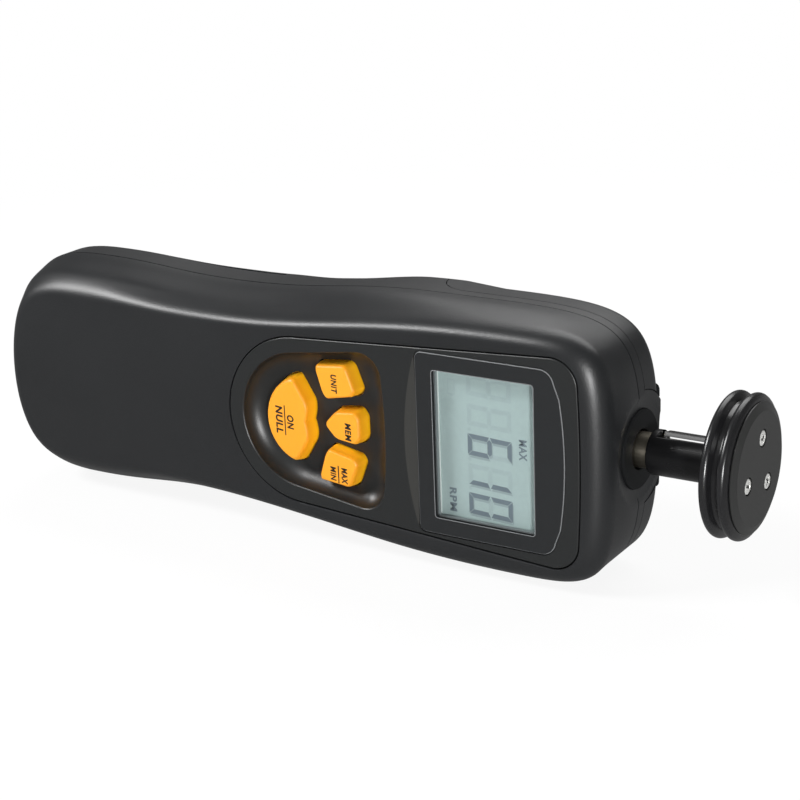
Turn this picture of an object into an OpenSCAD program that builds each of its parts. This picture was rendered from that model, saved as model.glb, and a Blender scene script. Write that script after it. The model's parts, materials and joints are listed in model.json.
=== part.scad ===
// Hand-held contact tachometer: a moulded housing, four keys and a display, and a
// spindle in two ball bearings that carries a pull-off rubber-tyred wheel.
// X runs along the housing towards the wheel, Y from the front face to the back, and
// Z across the housing, which stands on its long side at Z = 0.

/* [Housing] */
// Length of the housing
body_length = 211; // [202:1:230]
// Width of the head, across its sides
body_width = 74; // [71:0.5:84]
// Depth of the housing at the ridge of the back
body_depth = 37; // [36:0.5:41]
// Depth of the housing at the head
head_depth = 34; // [33.8:0.2:36]
// How far each side draws in at the waist
waist_draw = 4.1; // [0:0.1:6]
// How far each side draws in at the handle
handle_draw = 1.7; // [0:0.1:3]
// Depth of the parting line behind the front face
seam_depth = 19.5; // [18.5:0.25:20]
// Depth of the rounded front edge
edge_depth = 6.5; // [4:0.5:8]
// Radius of the rounded back edge
back_round = 5; // [3:0.5:6]
// Wall of the shells
wall = 2.2; // [1.6:0.1:2.6]
// Depth of the finger scoop below the head
scoop_depth = 1.4; // [0:0.2:3]

/* [Front panel] */
// Thickness of the inset panel
panel_t = 2; // [1.6:0.1:2.4]
// Land between the panel and the rounded edge
panel_land = 0.9; // [0.4:0.1:2]
// Depth of the key well
well_depth = 5.5; // [4.5:0.25:6]
// Rim between the key well and the edge of the panel
well_rim = 5; // [3:0.25:7]
// Groove round the panel
panel_gap = 0.35; // [0.2:0.05:0.6]

/* [Display] */
// Visible height of the display, across the housing
lcd_h = 42.3; // [38:0.5:44]
// Visible width of the display, along the housing
lcd_w = 30.7; // [26:0.5:32]
// Dark border of the lens above and below the display
lens_border = 4.8; // [3:0.2:5.4]
// Thickness of the lens
lens_t = 1.6; // [1.2:0.1:1.8]

/* [Keys] */
// Radius of the fan-shaped key
fan_r = 12.8; // [11:0.2:14]
// Clear space between the fan-shaped key and the well's rim
well_margin = 7.1; // [6:0.1:8]
// Depth of the key tops below the front face
key_sink = 1; // [0.4:0.1:2]
// Travel of a key
key_travel = 0.8; // [0.4:0.1:1]
// Clearance round a key in its hole
key_gap = 0.35; // [0.25:0.05:0.5]

/* [Spindle] */
// Depth of the spindle behind the front face
shaft_y = 21.3; // [21:0.1:22]
// Radius of the spindle in its bearings
spindle_r = 2.5; // [2:0.1:2.8]
// Radius of the shoulder that shows at the nose
shoulder_r = 4.9; // [4:0.1:5.2]
// Radius of the nose that enters the adapter
nose_r = 3; // [2.4:0.1:3.4]
// Length of the nose inside the adapter
nose_l = 15; // [12:0.5:18]
// Radius of the nose collar
collar_r = 11; // [10:0.25:11.6]

/* [Bearings] */
// Outer radius of a bearing
bearing_r = 5.5; // [5.2:0.1:5.7]
// Width of a bearing
bearing_w = 4; // [3:0.25:5]
// Balls in a bearing
ball_count = 8; // [6:1:9]

/* [Wheel] */
// Radius of the wheel over its tyre
wheel_r = 19.5; // [16:0.5:24]
// Radius of the adapter sleeve
sleeve_r = 6.2; // [5.6:0.1:7]
// Free length of the sleeve between shoulder and wheel
sleeve_l = 20; // [17:0.5:28]
// Distance between the two ribs of the tyre
rib_pitch = 4.8; // [4.4:0.1:6]
// Radius of a rib's cross-section
rib_r = 1.7; // [1.2:0.1:2]
// Radius of the circle that the cap screws lie on
cap_screw_circle = 8; // [7:0.25:10]
// Cap screws
cap_screw_count = 3; // [3:1:6]

/* [Battery] */
// Length of the battery
battery_l = 48.5; // [46:0.5:50]
// Width of the battery
battery_w = 26.5; // [25:0.5:28]
// Thickness of the battery
battery_t = 17.5; // [16:0.5:18]
// Length of the battery door
door_l = 91; // [86:1:96]

/* [Hidden] */
$fn = 48;

// One overrun serves every cut
over = 1;
// Clearance of parts that fit together without moving
fit_gap = 0.1;
// Running clearance of a turning part
run_gap = 0.02;

// Places along the housing
handle_full_x = 29;
waist_x = 81;
front_waist_x = 60;
head_full_x = body_length - 46;
front_full_x = body_length - 33;
rest_l = 14;
front_rest_l = 4;
end_x = body_length;

// Half widths of the outline at the parting line
head_hw = body_width/2;
handle_hw = head_hw - handle_draw;
waist_hw = head_hw - waist_draw;

// Half widths at the start of the rounded front edge: the sides lean in
head_lean = 1.2;
handle_lean = 6;
handle_end_lean = 4.8;
rest_draw = 1.4;
rest_y = seam_depth - 5;
waist_lean = 4.9;
end_lean = 0.8;

// Front face, panel and lens, worked out from the display
lens_hh = lcd_h/2 + lens_border;
lens_land = 3.65;
panel_hh = lens_hh + lens_land;
face_hh = panel_hh + panel_land;
well_r = fan_r + well_margin;
panel_r = well_r + well_rim;
fan_land = 0.9;
handle_face_hh = 21.6;
face_waist_hh = 22.2;
head_bevel = 7.5;
handle_bevel = 11.2;

// Places on the front, measured from the head end
fan_x = end_x - 96.1;
lcd_x = end_x - 52.5;
lens_x0 = lcd_x - 5.2;
lens_x1 = lcd_x + lcd_w + 9.1;
lens_bulge = 2.9;
lens_corner = 4.5;
lens_left_corner = 2;
panel_x1 = end_x - 8.7;
panel_corner = 8;
panel_bulge = 0.6;

// Stack behind the front face
key_flange_t = 1.2;
plunger_l = 1.6;
floor_t = 1.6;
rest_gap = 0.3;
glass_t = 2.8;
glass_y = lens_t + 2;
board_t = 1.6;
dome_h = 0.7;
key_base_y = well_depth + floor_t + rest_gap;
board_y = key_base_y + key_flange_t + plunger_l + key_travel + fit_gap + dome_h;
board_back = board_y + board_t;

// Samples along the outline and round the edges
end_steps = 11;
waist_steps = 5;
side_steps = 10;
corner_steps = 12;
edge_steps = 5;

// Placing the device in its own frame: middle of the whole length and depth, on its side
sleeve_x = end_x + 2.5;
hub_x = sleeve_x + sleeve_l;
rib1_x = hub_x + 1.8;
rib2_x = rib1_x + rib_pitch;
cap_x0 = rib2_x + 1.8;
cap_x = cap_x0 + 1.3;
mid_x = cap_x/2;
mid_y = max(body_depth, shaft_y + wheel_r)/2;
module stand() translate([-mid_x, -mid_y, head_hw]) children();

// Turns a child's Z axis onto the spindle's axis, with Z = device X
module on_spindle() translate([0, shaft_y, 0]) rotate([0, 90, 0]) children();
// Extrudes a front-view outline from depth y0 to depth y1
module slab(y0, y1) translate([0, y1, 0]) rotate([90, 0, 0]) linear_extrude(y1 - y0) children();
// A cylinder along Y from depth y0 to depth y1
module peg(x, z, r, y0, y1) translate([x, y0, z]) rotate([-90, 0, 0]) cylinder(r = r, h = y1 - y0);
// A box between two corners
module block(a, b) translate(a) cube(b - a);

function mix(a, b, t) = a + (b - a)*t;
function ease(x, a, b) = let (t = min(1, max(0, (x - a)/(b - a)))) t*t*(3 - 2*t);
function cubic(a, b, c, d, t) =
  a*pow(1 - t, 3) + b*3*t*pow(1 - t, 2) + c*3*t*t*(1 - t) + d*pow(t, 3);
function arc(c, r, a0, a1, n) =
  [for (i = [0:n]) let (a = mix(a0, a1, i/n)) c + r*[cos(a), sin(a)]];
function mirrored(half) =
  concat(half, [for (i = [len(half) - 2:-1:1]) [half[i][0], -half[i][1]]]);

// Shares that shape the ends of the outline
end_square_share = 0.81;
end_round_share = 0.2;
side_flow_share = 0.45;
corner_square_share = 0.97;
corner_reach_share = 0.88;

// Upper half of an outline, from the middle of the handle end to the middle of the head end
function half_outline(x0, x1, hz, wx, wz, sx, bx, bz) = concat(
  [for (i = [0:end_steps - 1]) cubic([x0, 0], [x0, end_square_share*hz],
    [mix(x0, handle_full_x, end_round_share), hz], [handle_full_x, hz], i/end_steps)],
  [for (i = [0:waist_steps - 1]) cubic([handle_full_x, hz],
    [mix(handle_full_x, wx, side_flow_share), hz],
    [mix(wx, handle_full_x, side_flow_share), wz], [wx, wz], i/waist_steps)],
  [for (i = [0:side_steps]) cubic([wx, wz], [mix(wx, sx, side_flow_share), wz],
    [mix(sx, wx, side_flow_share), bz], [sx, bz], i/side_steps)],
  [for (i = [0:corner_steps]) cubic([bx, bz], [mix(bx, x1, corner_reach_share), bz],
    [x1, corner_square_share*bz], [x1, 0], i/corner_steps)]);

// The levels of the housing, each drawn in by o
function seam_half(o) = half_outline(o, end_x - o, handle_hw - o, waist_x, waist_hw - o,
  head_full_x - rest_l, head_full_x, head_hw - o);
function rest_half(o) = half_outline(rest_draw/2 + o, end_x - o, handle_hw - rest_draw - o,
  waist_x, waist_hw - rest_draw - o, head_full_x - rest_l, head_full_x, head_hw - o);
function shoulder_half(o) = half_outline(handle_end_lean + o, end_x - end_lean - o,
  handle_hw - handle_lean - o, front_waist_x, waist_hw - waist_lean - o,
  front_full_x - front_rest_l, front_full_x, head_hw - head_lean - o);
function face_half(o) = half_outline(handle_bevel + o, end_x - head_bevel - o, handle_face_hh - o,
  front_waist_x, face_waist_hh - o,
  front_full_x - front_rest_l, front_full_x, face_hh - o);

// Depth of the back along the housing: handle, finger scoop, ridge and head
end_drop = 1.2;
waist_drop = 1.4;
waist_rise = 0.8;
swell_x = handle_full_x + 16;
scoop_x0 = door_l + 2;
scoop_x1 = door_l + 21;
ridge_x0 = door_l + 27;
ridge_x1 = end_x - 71;
ridge_x2 = end_x - 59;
ridge_x3 = end_x - 49;
function back_depth(x) = head_depth
  - waist_drop*(1 - ease(x, swell_x, waist_x)) - (end_drop - waist_drop)*(1 - ease(x, 0, handle_full_x))
  + waist_rise*ease(x, swell_x, waist_x)*(1 - ease(x, scoop_x0, scoop_x1))
  - scoop_depth*ease(x, scoop_x0, scoop_x1)*(1 - ease(x, ridge_x0, ridge_x1))
  + (body_depth - head_depth)*ease(x, ridge_x0, ridge_x1)*(1 - ease(x, ridge_x2, ridge_x3));

function flat_ring(half, y) = [for (p = mirrored(half)) [p[0], y, p[1]]];
function front_ring(o, a) = let (s = shoulder_half(o), f = face_half(o), d = edge_depth - o)
  flat_ring([for (i = [0:len(s) - 1]) mix(s[i], f[i], 1 - cos(a))], o + d*(1 - sin(a)));
// A ring of the back at angle a round its edge, with the skin's inside t below the outside
function back_ring(o, a, t) = [for (p = mirrored(seam_half(o + back_round*(1 - cos(a)))))
  [p[0], back_depth(p[0]) - t - back_round*(1 - sin(a)), p[1]]];

// A solid through a stack of rings, closed by strips across both end rings
module loft(rings, flip = false) {
  n = len(rings[0]);
  last = (len(rings) - 1)*n;
  sides = [for (k = [0:len(rings) - 2], i = [0:n - 1]) let (j = (i + 1)%n, a = k*n, b = a + n)
    each [[a + i, a + j, b + j], [a + i, b + j, b + i]]];
  strips = [for (i = [0:n/2 - 1]) let (j = i + 1, mi = (n - i)%n, mj = n - j)
    each concat(mj != j ? [[i, j, mj]] : [], mi != i ? [[i, mj, mi]] : [])];
  head = [for (f = strips) [last + f[0], last + f[1], last + f[2]]];
  tail = [for (f = strips) [f[2], f[1], f[0]]];
  all = concat(sides, head, tail);
  polyhedron([for (r = rings) each r], flip ? [for (f = all) [f[2], f[1], f[0]]] : all);
}
// A solid through a stack of star-shaped rings of any count, closed by flat faces
module stack(rings) {
  n = len(rings[0]);
  last = (len(rings) - 1)*n;
  sides = [for (k = [0:len(rings) - 2], i = [0:n - 1]) let (j = (i + 1)%n, a = k*n, b = a + n)
    each [[a + i, a + j, b + j], [a + i, b + j, b + i]]];
  polyhedron([for (r = rings) each r],
    concat(sides, [[for (i = [0:n - 1]) last + i]], [[for (i = [n - 1:-1:0]) i]]));
}

// Rounded outline with a large arc on the left and two corners on the right
arc_steps = 12;
function fan_outline(r, x1, hh, rc, bulge) =
  let (cx = x1 - rc - fan_x, cz = hh - rc,
       a = atan2(cz, cx) + acos((r - rc)/norm([cx, cz])))
  mirrored(concat(arc([fan_x, 0], r, 180, a, arc_steps),
    arc([x1 - rc, cz], rc, a, 0, arc_steps/2),
    [for (s = [0.5, 0]) [x1 + bulge*(1 - s*s), s*cz]]));
function panel_outline(o) = fan_outline(panel_r + o, panel_x1 + o, panel_hh + o,
  panel_corner + o, panel_bulge);
well_x1 = fan_x + 27;
well_hh = well_r + 2.9;
well_corner = 7;
function well_outline(o) = fan_outline(well_r + o, well_x1 + o, well_hh + o, well_corner + o, 0.8);
// Rounded rectangle with a bulged right edge
function lens_outline(o) = mirrored(concat([[lens_x0 - o, 0]],
  arc([lens_x0 + lens_left_corner, lens_hh - lens_left_corner], lens_left_corner + o, 180, 90, 4),
  arc([lens_x1 - lens_bulge - lens_corner, lens_hh - lens_corner], lens_corner + o, 90, 10, 6),
  [for (s = [0.6, 0.3, 0]) [lens_x1 + o - lens_bulge*s*s, s*lens_hh]]));

// Corners of a polygon, each rounded with radius r
round_steps = 3;
function rounded(p, r) = [for (i = [0:len(p) - 1])
  let (q = p[i], u = p[(i + len(p) - 1)%len(p)] - q, v = p[(i + 1)%len(p)] - q,
       d = min(r, norm(u)/2.5, norm(v)/2.5), a = q + d*u/norm(u), b = q + d*v/norm(v))
  each [for (k = [0:round_steps]) let (t = k/round_steps) a*pow(1 - t, 2) + q*2*t*(1 - t) + b*t*t]];
function centre(p) = [for (k = [0, 1]) (min([for (q = p) q[k]]) + max([for (q = p) q[k]]))/2];
function shrunk(p, s) = let (c = centre(p)) [for (q = p) c + (q - c)*s];

// Key outlines, in shares of the fan's radius from the fan's centre
fan_tip_angle = 76;
fan_lobe_shares = [[0.2, 0.33], [0.09, 0]];
unit_shares = [[0.36, 1.35], [1.195, 1.44], [1.43, 0.84], [1.34, 0.7], [0.62, 0.555], [0.515, 0.7], [0.35, 1.23]];
mem_shares = [[0.525, 0], [0.835, 0.335], [1.39, 0.4], [1.515, 0.235]];
function on_fan(p) = [for (q = p) [fan_x, 0] + fan_r*q];
on_outline = let (tip = fan_tip_angle)
  mirrored(concat(arc([fan_x, 0], fan_r, 180, 180 - tip, 8), on_fan(fan_lobe_shares)));
unit_outline = rounded(on_fan(unit_shares), 1.6);
maxmin_outline = [for (i = [len(unit_outline) - 1:-1:0]) [unit_outline[i][0], -unit_outline[i][1]]];
mem_outline = let (p = on_fan(mem_shares))
  rounded([p[0], p[1], p[2], p[3], [p[3][0], -p[3][1]], [p[2][0], -p[2][1]], [p[1][0], -p[1][1]]], 1.6);

// Screw posts
post_r = 3.2;
shank_r = 1.25;
pilot_r = shank_r + run_gap;
head_r = 2.4;
head_h = 1.5;
handle_post = [18, 15];
mid_post = [door_l + 9, 24];
head_post = [end_x - 22, head_hw - 5.4];
board_post_x = [lcd_x - 4, lcd_x + 20];
board_post_z = head_hw - 5.8;
board_post_r = 2.2;
housing_posts = [handle_post, mid_post];
module both_sides(p) for (s = [1, -1]) translate([p[0], 0, s*p[1]]) children();

// A pan-head screw from head seat y towards the front, with a cross recess
recess_w = 0.6;
module screw(y, l) difference() {
  union() {
    peg(0, 0, head_r, y, y + head_h);
    peg(0, 0, shank_r, y - l, y);
  }
  for (a = [0, 90]) translate([0, y + head_h/2, 0]) rotate([0, a, 0])
    translate([-head_r*0.6, 0, -recess_w/2]) cube([head_r*1.2, head_h, recess_w]);
}

// Nose: collar, its seat in the end walls and the dish in front of it
collar_x0 = end_x - 4.6;
collar_x1 = end_x - 1.1;
flange_r = collar_r + 2;
flange_x1 = end_x - 3.1;
hole_r = shoulder_r + 0.6;
dish_r = collar_r + 6;
dish_d = 1.4;
module nose_bore() on_spindle() translate([0, 0, collar_x0 - over])
  cylinder(r = collar_r + fit_gap, h = end_x - collar_x0 + 3*over);
module nose_dish() on_spindle() translate([0, 0, end_x - dish_d])
  cylinder(r1 = collar_r + 0.4, r2 = 2*dish_r - collar_r - 0.4, h = 2*dish_d);

ledge_w = 2;
ledge_out = 1.2;
module front_shell() color("#2f3133") difference() {
  union() {
    loft([flat_ring(face_half(wall), wall), flat_ring(shoulder_half(wall), edge_depth),
      flat_ring(rest_half(wall), rest_y), flat_ring(seam_half(wall), seam_depth),
      flat_ring(seam_half(0), seam_depth), flat_ring(rest_half(0), rest_y),
      for (k = [0:edge_steps]) front_ring(0, 90*k/edge_steps)]);
    difference() {
      slab(panel_t, panel_t + wall) polygon(panel_outline(ledge_out));
      slab(panel_t - over, panel_t + wall + over) polygon(panel_outline(-ledge_w));
    }
    for (p = housing_posts) both_sides(p) peg(0, 0, post_r, wall/2, seam_depth);
    both_sides(head_post) peg(0, 0, post_r, edge_depth, seam_depth);
    for (x = board_post_x) both_sides([x, board_post_z]) peg(0, 0, board_post_r, wall, board_y);
  }
  slab(-over, panel_t) polygon(panel_outline(0));
  slab(-over, panel_t + 2*wall) polygon(panel_outline(-ledge_w));
  for (p = concat(housing_posts, [head_post]))
    both_sides(p) peg(0, 0, pilot_r, edge_depth + wall, seam_depth + over);
  for (x = board_post_x) both_sides([x, board_post_z]) peg(0, 0, pilot_r, 2*wall, board_y + over);
  nose_bore();
  nose_dish();
}

// The battery compartment lies behind the deck, under the door
deck_y = head_depth - 5;
deck_t = 1.8;
bay_wall = 1.5;
bay_x0 = 26;
bay_x1 = bay_x0 + battery_l + 6;
bay_hz = battery_w/2 + 0.4;
bay_y = deck_y - deck_t - battery_t - 0.3;
snap_x = bay_x0 + battery_l + 0.5;

// The head cover takes the back of the head beyond this line
cover_y = seam_depth + 3.6;
cover_x = end_x - 65.5;
cover_bend = 11;
cover_gap = 0.25;
function cover_line(o) = concat([[cover_x - o, body_depth + over]],
  arc([cover_x, cover_y] + cover_bend*[1, 1], cover_bend + o, 180, 270, 6),
  [[end_x + over, cover_y - o], [end_x + over, body_depth + over]]);
module cover_zone(o) linear_extrude(body_width + 2*over, center = true) polygon(cover_line(o));

// Housing round the collar, which stands in the arch of the head cover
arch_r = collar_r + 5;
arch_x0 = end_x - 6;
module back_skin(inner_t) loft([for (k = [2:-1:0]) back_ring(inner_t, 45*k, inner_t),
  flat_ring(seam_half(inner_t), seam_depth), flat_ring(seam_half(0), seam_depth),
  for (k = [0:3]) back_ring(0, 30*k, 0)], flip = true);

module rear_shell() color("#2c2e30") difference() {
  union() {
    difference() {
      back_skin(wall);
      block([-over, deck_y, -head_hw], [door_l, body_depth + over, head_hw]);
      cover_zone(0);
    }
    intersection() {
      loft([flat_ring(seam_half(wall/2), seam_depth), for (k = [0, 2]) back_ring(wall/2, 45*k, 0)],
        flip = true);
      union() {
        block([-over, deck_y - deck_t, -head_hw], [door_l + wall, deck_y, head_hw]);
        block([door_l, deck_y - deck_t, -head_hw], [door_l + wall, body_depth, head_hw]);
      }
    }
    block([bay_x0 - bay_wall, bay_y - bay_wall, -bay_hz - bay_wall],
      [bay_x1 + bay_wall, deck_y, bay_hz + bay_wall]);
    both_sides(handle_post) peg(0, 0, post_r, seam_depth, deck_y);
    both_sides(mid_post) peg(0, 0, post_r, seam_depth, head_depth - scoop_depth - 1);
    both_sides(head_post) peg(0, 0, post_r, seam_depth, cover_y);
    difference() {
      on_spindle() translate([0, 0, arch_x0]) cylinder(r = arch_r, h = end_x - arch_x0 - end_lean);
      block([arch_x0 - over, -over, -head_hw], [end_x + over, seam_depth, head_hw]);
      block([arch_x0 - over, head_depth - 0.4, -head_hw], [end_x + over, body_depth + wheel_r, head_hw]);
    }
  }
  block([bay_x0, bay_y, -bay_hz], [bay_x1, deck_y + over, bay_hz]);
  block([bay_x1 - over, bay_y + 3, -4], [bay_x1 + bay_wall + over, bay_y + 8, 4]);
  for (p = housing_posts) both_sides(p) peg(0, 0, shank_r + fit_gap, seam_depth - over, deck_y + over);
  both_sides(handle_post) peg(0, 0, head_r + 0.4, deck_y - head_h - 0.3, deck_y + over);
  both_sides(mid_post) peg(0, 0, head_r + 0.4, deck_y - 3, body_depth);
  both_sides(head_post) peg(0, 0, shank_r + fit_gap, seam_depth - over, cover_y + over);
  nose_bore();
  nose_dish();
  on_spindle() translate([0, 0, arch_x0 - over]) cylinder(r = flange_r + fit_gap, h = flange_x1 - arch_x0 + over + 0.1);
}

// The battery door is the skin of the handle's back behind the deck
door_gap = 0.3;
door_t = 2;
module battery_door() color("#2a2c2e") intersection() {
  loft([for (k = [2:-1:0]) back_ring(door_t, 45*k, door_t),
    back_ring(door_t, 0, back_round), back_ring(0, 0, back_round),
    for (k = [0:3]) back_ring(0, 30*k, 0)], flip = true);
  block([-over, deck_y + door_gap, -head_hw], [door_l - door_gap, body_depth + over, head_hw]);
}

// Cover of the head's back, with posts that carry the bearing block
block_x0 = end_x - 34;
block_x1 = collar_x0 - 0.2;
wing_x = [block_x0 + 5, block_x1 - 6];
wing_z = 12.5;
wing_y0 = shaft_y + 1.5;
wing_t = 3;
spine_hz = 15;
spine_h = 1.5;
spine_x0 = end_x - 44;
spine_slope = 5;
module head_cover() color("#303234") difference() {
  union() {
    intersection() {
      back_skin(wall);
      cover_zone(-cover_gap);
    }
    linear_extrude(2*spine_hz, center = true) polygon([[spine_x0, head_depth - wall/2],
      [spine_x0 + spine_slope, head_depth + spine_h], [end_x - spine_slope, head_depth + spine_h],
      [end_x - end_lean, head_depth - wall/2]]);
    for (x = wing_x) both_sides([x, wing_z])
      peg(0, 0, post_r - 0.4, wing_y0 + wing_t, head_depth - wall/2);
    both_sides(head_post) peg(0, 0, post_r, cover_y + cover_gap, head_depth - wall/2);
  }
  on_spindle() translate([0, 0, arch_x0 - cover_gap]) cylinder(r = arch_r + cover_gap, h = 4*wall + over);
  for (x = wing_x) both_sides([x, wing_z]) peg(0, 0, pilot_r, wing_y0 + wing_t - over, head_depth - 2*wall);
  both_sides(head_post) {
    peg(0, 0, shank_r + fit_gap, cover_y - over, head_depth + over);
    peg(0, 0, head_r + 0.4, cover_y + 5, body_depth);
  }
}

// Inset panel with the dished key well and the window frame
dish_steps = 4;
floor_draw = 4.2;
function dish_ring(a, t, d) = [for (p = well_outline(t - floor_draw*(1 - cos(a)))) [p[0], d*sin(a), p[1]]];
sight = 1.6;
facet_w = 4.1;
facet_depth = 0.9;
facet_r = 85;
facet_hh = lens_hh - lens_left_corner;
module front_panel() color("#313335") difference() {
  union() {
    slab(0, panel_t) polygon(panel_outline(-panel_gap));
    loft(concat([for (k = [dish_steps:-1:1]) dish_ring(90*k/dish_steps, floor_t, well_depth + floor_t)],
      [dish_ring(asin(panel_t/2/(well_depth + floor_t)), floor_t, well_depth + floor_t)]));
    slab(panel_t, lens_t + 1.4) intersection() {
      polygon(lens_outline(0.6));
      polygon(panel_outline(-ledge_w - fit_gap));
    }
  }
  loft(concat([for (k = [dish_steps:-1:0]) dish_ring(90*k/dish_steps, 0, well_depth)],
    [[for (p = well_outline(0)) [p[0], -over, p[1]]]]));
  slab(-over, lens_t + fit_gap) polygon(lens_outline(0.25));
  block([lcd_x - sight, -over, -lcd_h/2 - sight], [lcd_x + lcd_w + sight, panel_t + 3*over, lcd_h/2 + sight]);
  key_holes();
  facet();
}
module key_holes() slab(well_depth - over, key_base_y) offset(delta = key_gap) {
  polygon(on_outline);
  polygon(unit_outline);
  polygon(maxmin_outline);
  polygon(mem_outline);
}
// The sloping crescent beside the lens: part of a wide cone
module facet() intersection() {
  translate([lens_x0 - facet_w + facet_r, facet_depth, 0]) rotate([90, 0, 0])
    cylinder(r1 = facet_r - facet_w, r2 = facet_r + over*facet_w/facet_depth, h = facet_depth + over);
  block([lens_x0 - facet_w - over, -2*over, -facet_hh], [lens_x0, facet_depth + over, facet_hh]);
}

module window_lens() color([0.25, 0.27, 0.28]) slab(0, lens_t) polygon(lens_outline(0));

glass_over = 3;
module display_glass() color("#8fa3a2")
  block([lcd_x - glass_over, glass_y, -lcd_h/2 - glass_over/2],
    [lcd_x + lcd_w + glass_over, glass_y + glass_t, lcd_h/2 + glass_over/2]);

strip_w = 2;
strip_in = 1.9;
module contact_strips() color("#b9b2ac") for (x = [lcd_x - strip_in, lcd_x + lcd_w + strip_in])
  block([x - strip_w/2, glass_y + glass_t, -lcd_h/2], [x + strip_w/2, board_y, lcd_h/2]);

holder_t = 1.5;
module display_holder() color("#e6e6e2") difference() {
  block([lcd_x - glass_over - holder_t, glass_y - 0.6, -lcd_h/2 - glass_over/2 - holder_t],
    [lcd_x + lcd_w + glass_over + holder_t, board_y, lcd_h/2 + glass_over/2 + holder_t]);
  block([lcd_x - glass_over - fit_gap, glass_y, -lcd_h/2 - glass_over/2 - fit_gap],
    [lcd_x + lcd_w + glass_over + fit_gap, board_y + over, lcd_h/2 + glass_over/2 + fit_gap]);
  block([lcd_x - 0.5, glass_y - 2*over, -lcd_h/2 - 0.5],
    [lcd_x + lcd_w + 0.5, glass_y + over, lcd_h/2 + 0.5]);
}

// A key: cap with leaning sides, stem through the well's floor, flange and plunger
plunger_r = 1.8;
module key(outline, c) color("#ffc431") {
  n = len(outline);
  top = shrunk(outline, 0.9);
  rim = shrunk(outline, 0.95);
  stack([[for (p = outline) [p[0], key_base_y, p[1]]], [for (p = outline) [p[0], well_depth - 0.8, p[1]]],
    [for (p = rim) [p[0], key_sink + 0.7, p[1]]], [for (p = shrunk(outline, 0.93)) [p[0], key_sink + 0.2, p[1]]],
    [for (p = top) [p[0], key_sink, p[1]]]]);
  slab(key_base_y, key_base_y + key_flange_t) offset(delta = key_gap + 0.5) polygon(outline);
  peg(c[0], c[1], plunger_r, key_base_y + key_flange_t, key_base_y + key_flange_t + plunger_l);
}
on_c = [fan_x - 0.45*fan_r, 0];
unit_c = centre(unit_outline);
mem_c = centre(mem_outline);
maxmin_c = centre(maxmin_outline);
module key_on() key(on_outline, on_c);
module key_unit() key(unit_outline, unit_c);
module key_mem() key(mem_outline, mem_c);
module key_maxmin() key(maxmin_outline, maxmin_c);

dome_r = 2.6;
module key_domes() color("#c9c9c4") for (c = [on_c, unit_c, mem_c, maxmin_c])
  translate([c[0], board_y, c[1]]) rotate([90, 0, 0]) cylinder(r1 = dome_r, r2 = 0.6*dome_r, h = dome_h);

board_x0 = fan_x - 11;
board_x1 = end_x - 8.5;
board_wide_x = [lcd_x - 9, lcd_x + 24];
board_hz = 24;
board_wide_hz = board_post_z + board_post_r;
module main_board() color("#1f6b3a") difference() {
  union() {
    block([board_x0, board_y, -board_hz], [board_x1, board_back, board_hz]);
    block([board_wide_x[0], board_y, -board_wide_hz], [board_wide_x[1], board_back, board_wide_hz]);
  }
  for (x = board_post_x) both_sides([x, board_post_z]) peg(0, 0, shank_r + fit_gap, board_y - over, board_back + over);
}
board_head_h = 1.2;
module board_screws() color("#c4c6c8") for (x = board_post_x) both_sides([x, board_post_z]) difference() {
  union() {
    peg(0, 0, board_post_r, board_back, board_back + board_head_h);
    peg(0, 0, shank_r, board_back - 6, board_back);
  }
  for (a = [0, 90]) translate([0, board_back + board_head_h/2, 0]) rotate([0, a, 0])
    translate([-1.2, 0, -recess_w/2]) cube([2.4, board_head_h, recess_w]);
}

// Chips, crystal can and sounder on the back of the board
chip_h = 1.4;
chip_l = 14;
module board_parts() color("#1b1c1e") {
  block([board_x0 + 24, board_back, -chip_l/2], [board_x0 + 24 + chip_l, board_back + chip_h, chip_l/2]);
  block([board_x0 + 44, board_back, -20], [board_x0 + 50, board_back + chip_h, -15]);
  block([board_x0 + 46, board_back, 12], [board_x0 + 49, board_back + 2.4, 20]);
  peg(board_x0 + 12, 14, 5, board_back, board_back + 4);
}

// Fork that reads the disc, and the disc
disc_x = block_x0 - 5;
disc_t = 0.8;
disc_r = shaft_y - board_back - 0.5;
fork_hz = 4;
fork_h = 3.4;
module optical_fork() color("#202124") difference() {
  block([disc_x - 3.2, board_back, -fork_hz], [disc_x + 3.2, board_back + fork_h, fork_hz]);
  block([disc_x - disc_t/2 - 0.5, board_back + 0.2, -fork_hz - over],
    [disc_x + disc_t/2 + 0.5, board_back + fork_h + over, fork_hz + over]);
}
slot_count = 12;
module encoder_disc() color("#3a3c40") on_spindle() translate([0, 0, disc_x]) difference() {
  union() {
    translate([0, 0, -disc_t/2]) cylinder(r = disc_r, h = disc_t);
    translate([0, 0, -2]) cylinder(r = spindle_r + 1.4, h = 4);
  }
  translate([0, 0, -2 - over]) cylinder(r = spindle_r + run_gap, h = 4 + 2*over);
  for (i = [0:slot_count - 1]) rotate(360*i/slot_count)
    translate([disc_r - 2, -0.35, -disc_t]) cube([1.4, 0.7, 2*disc_t]);
}

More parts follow.
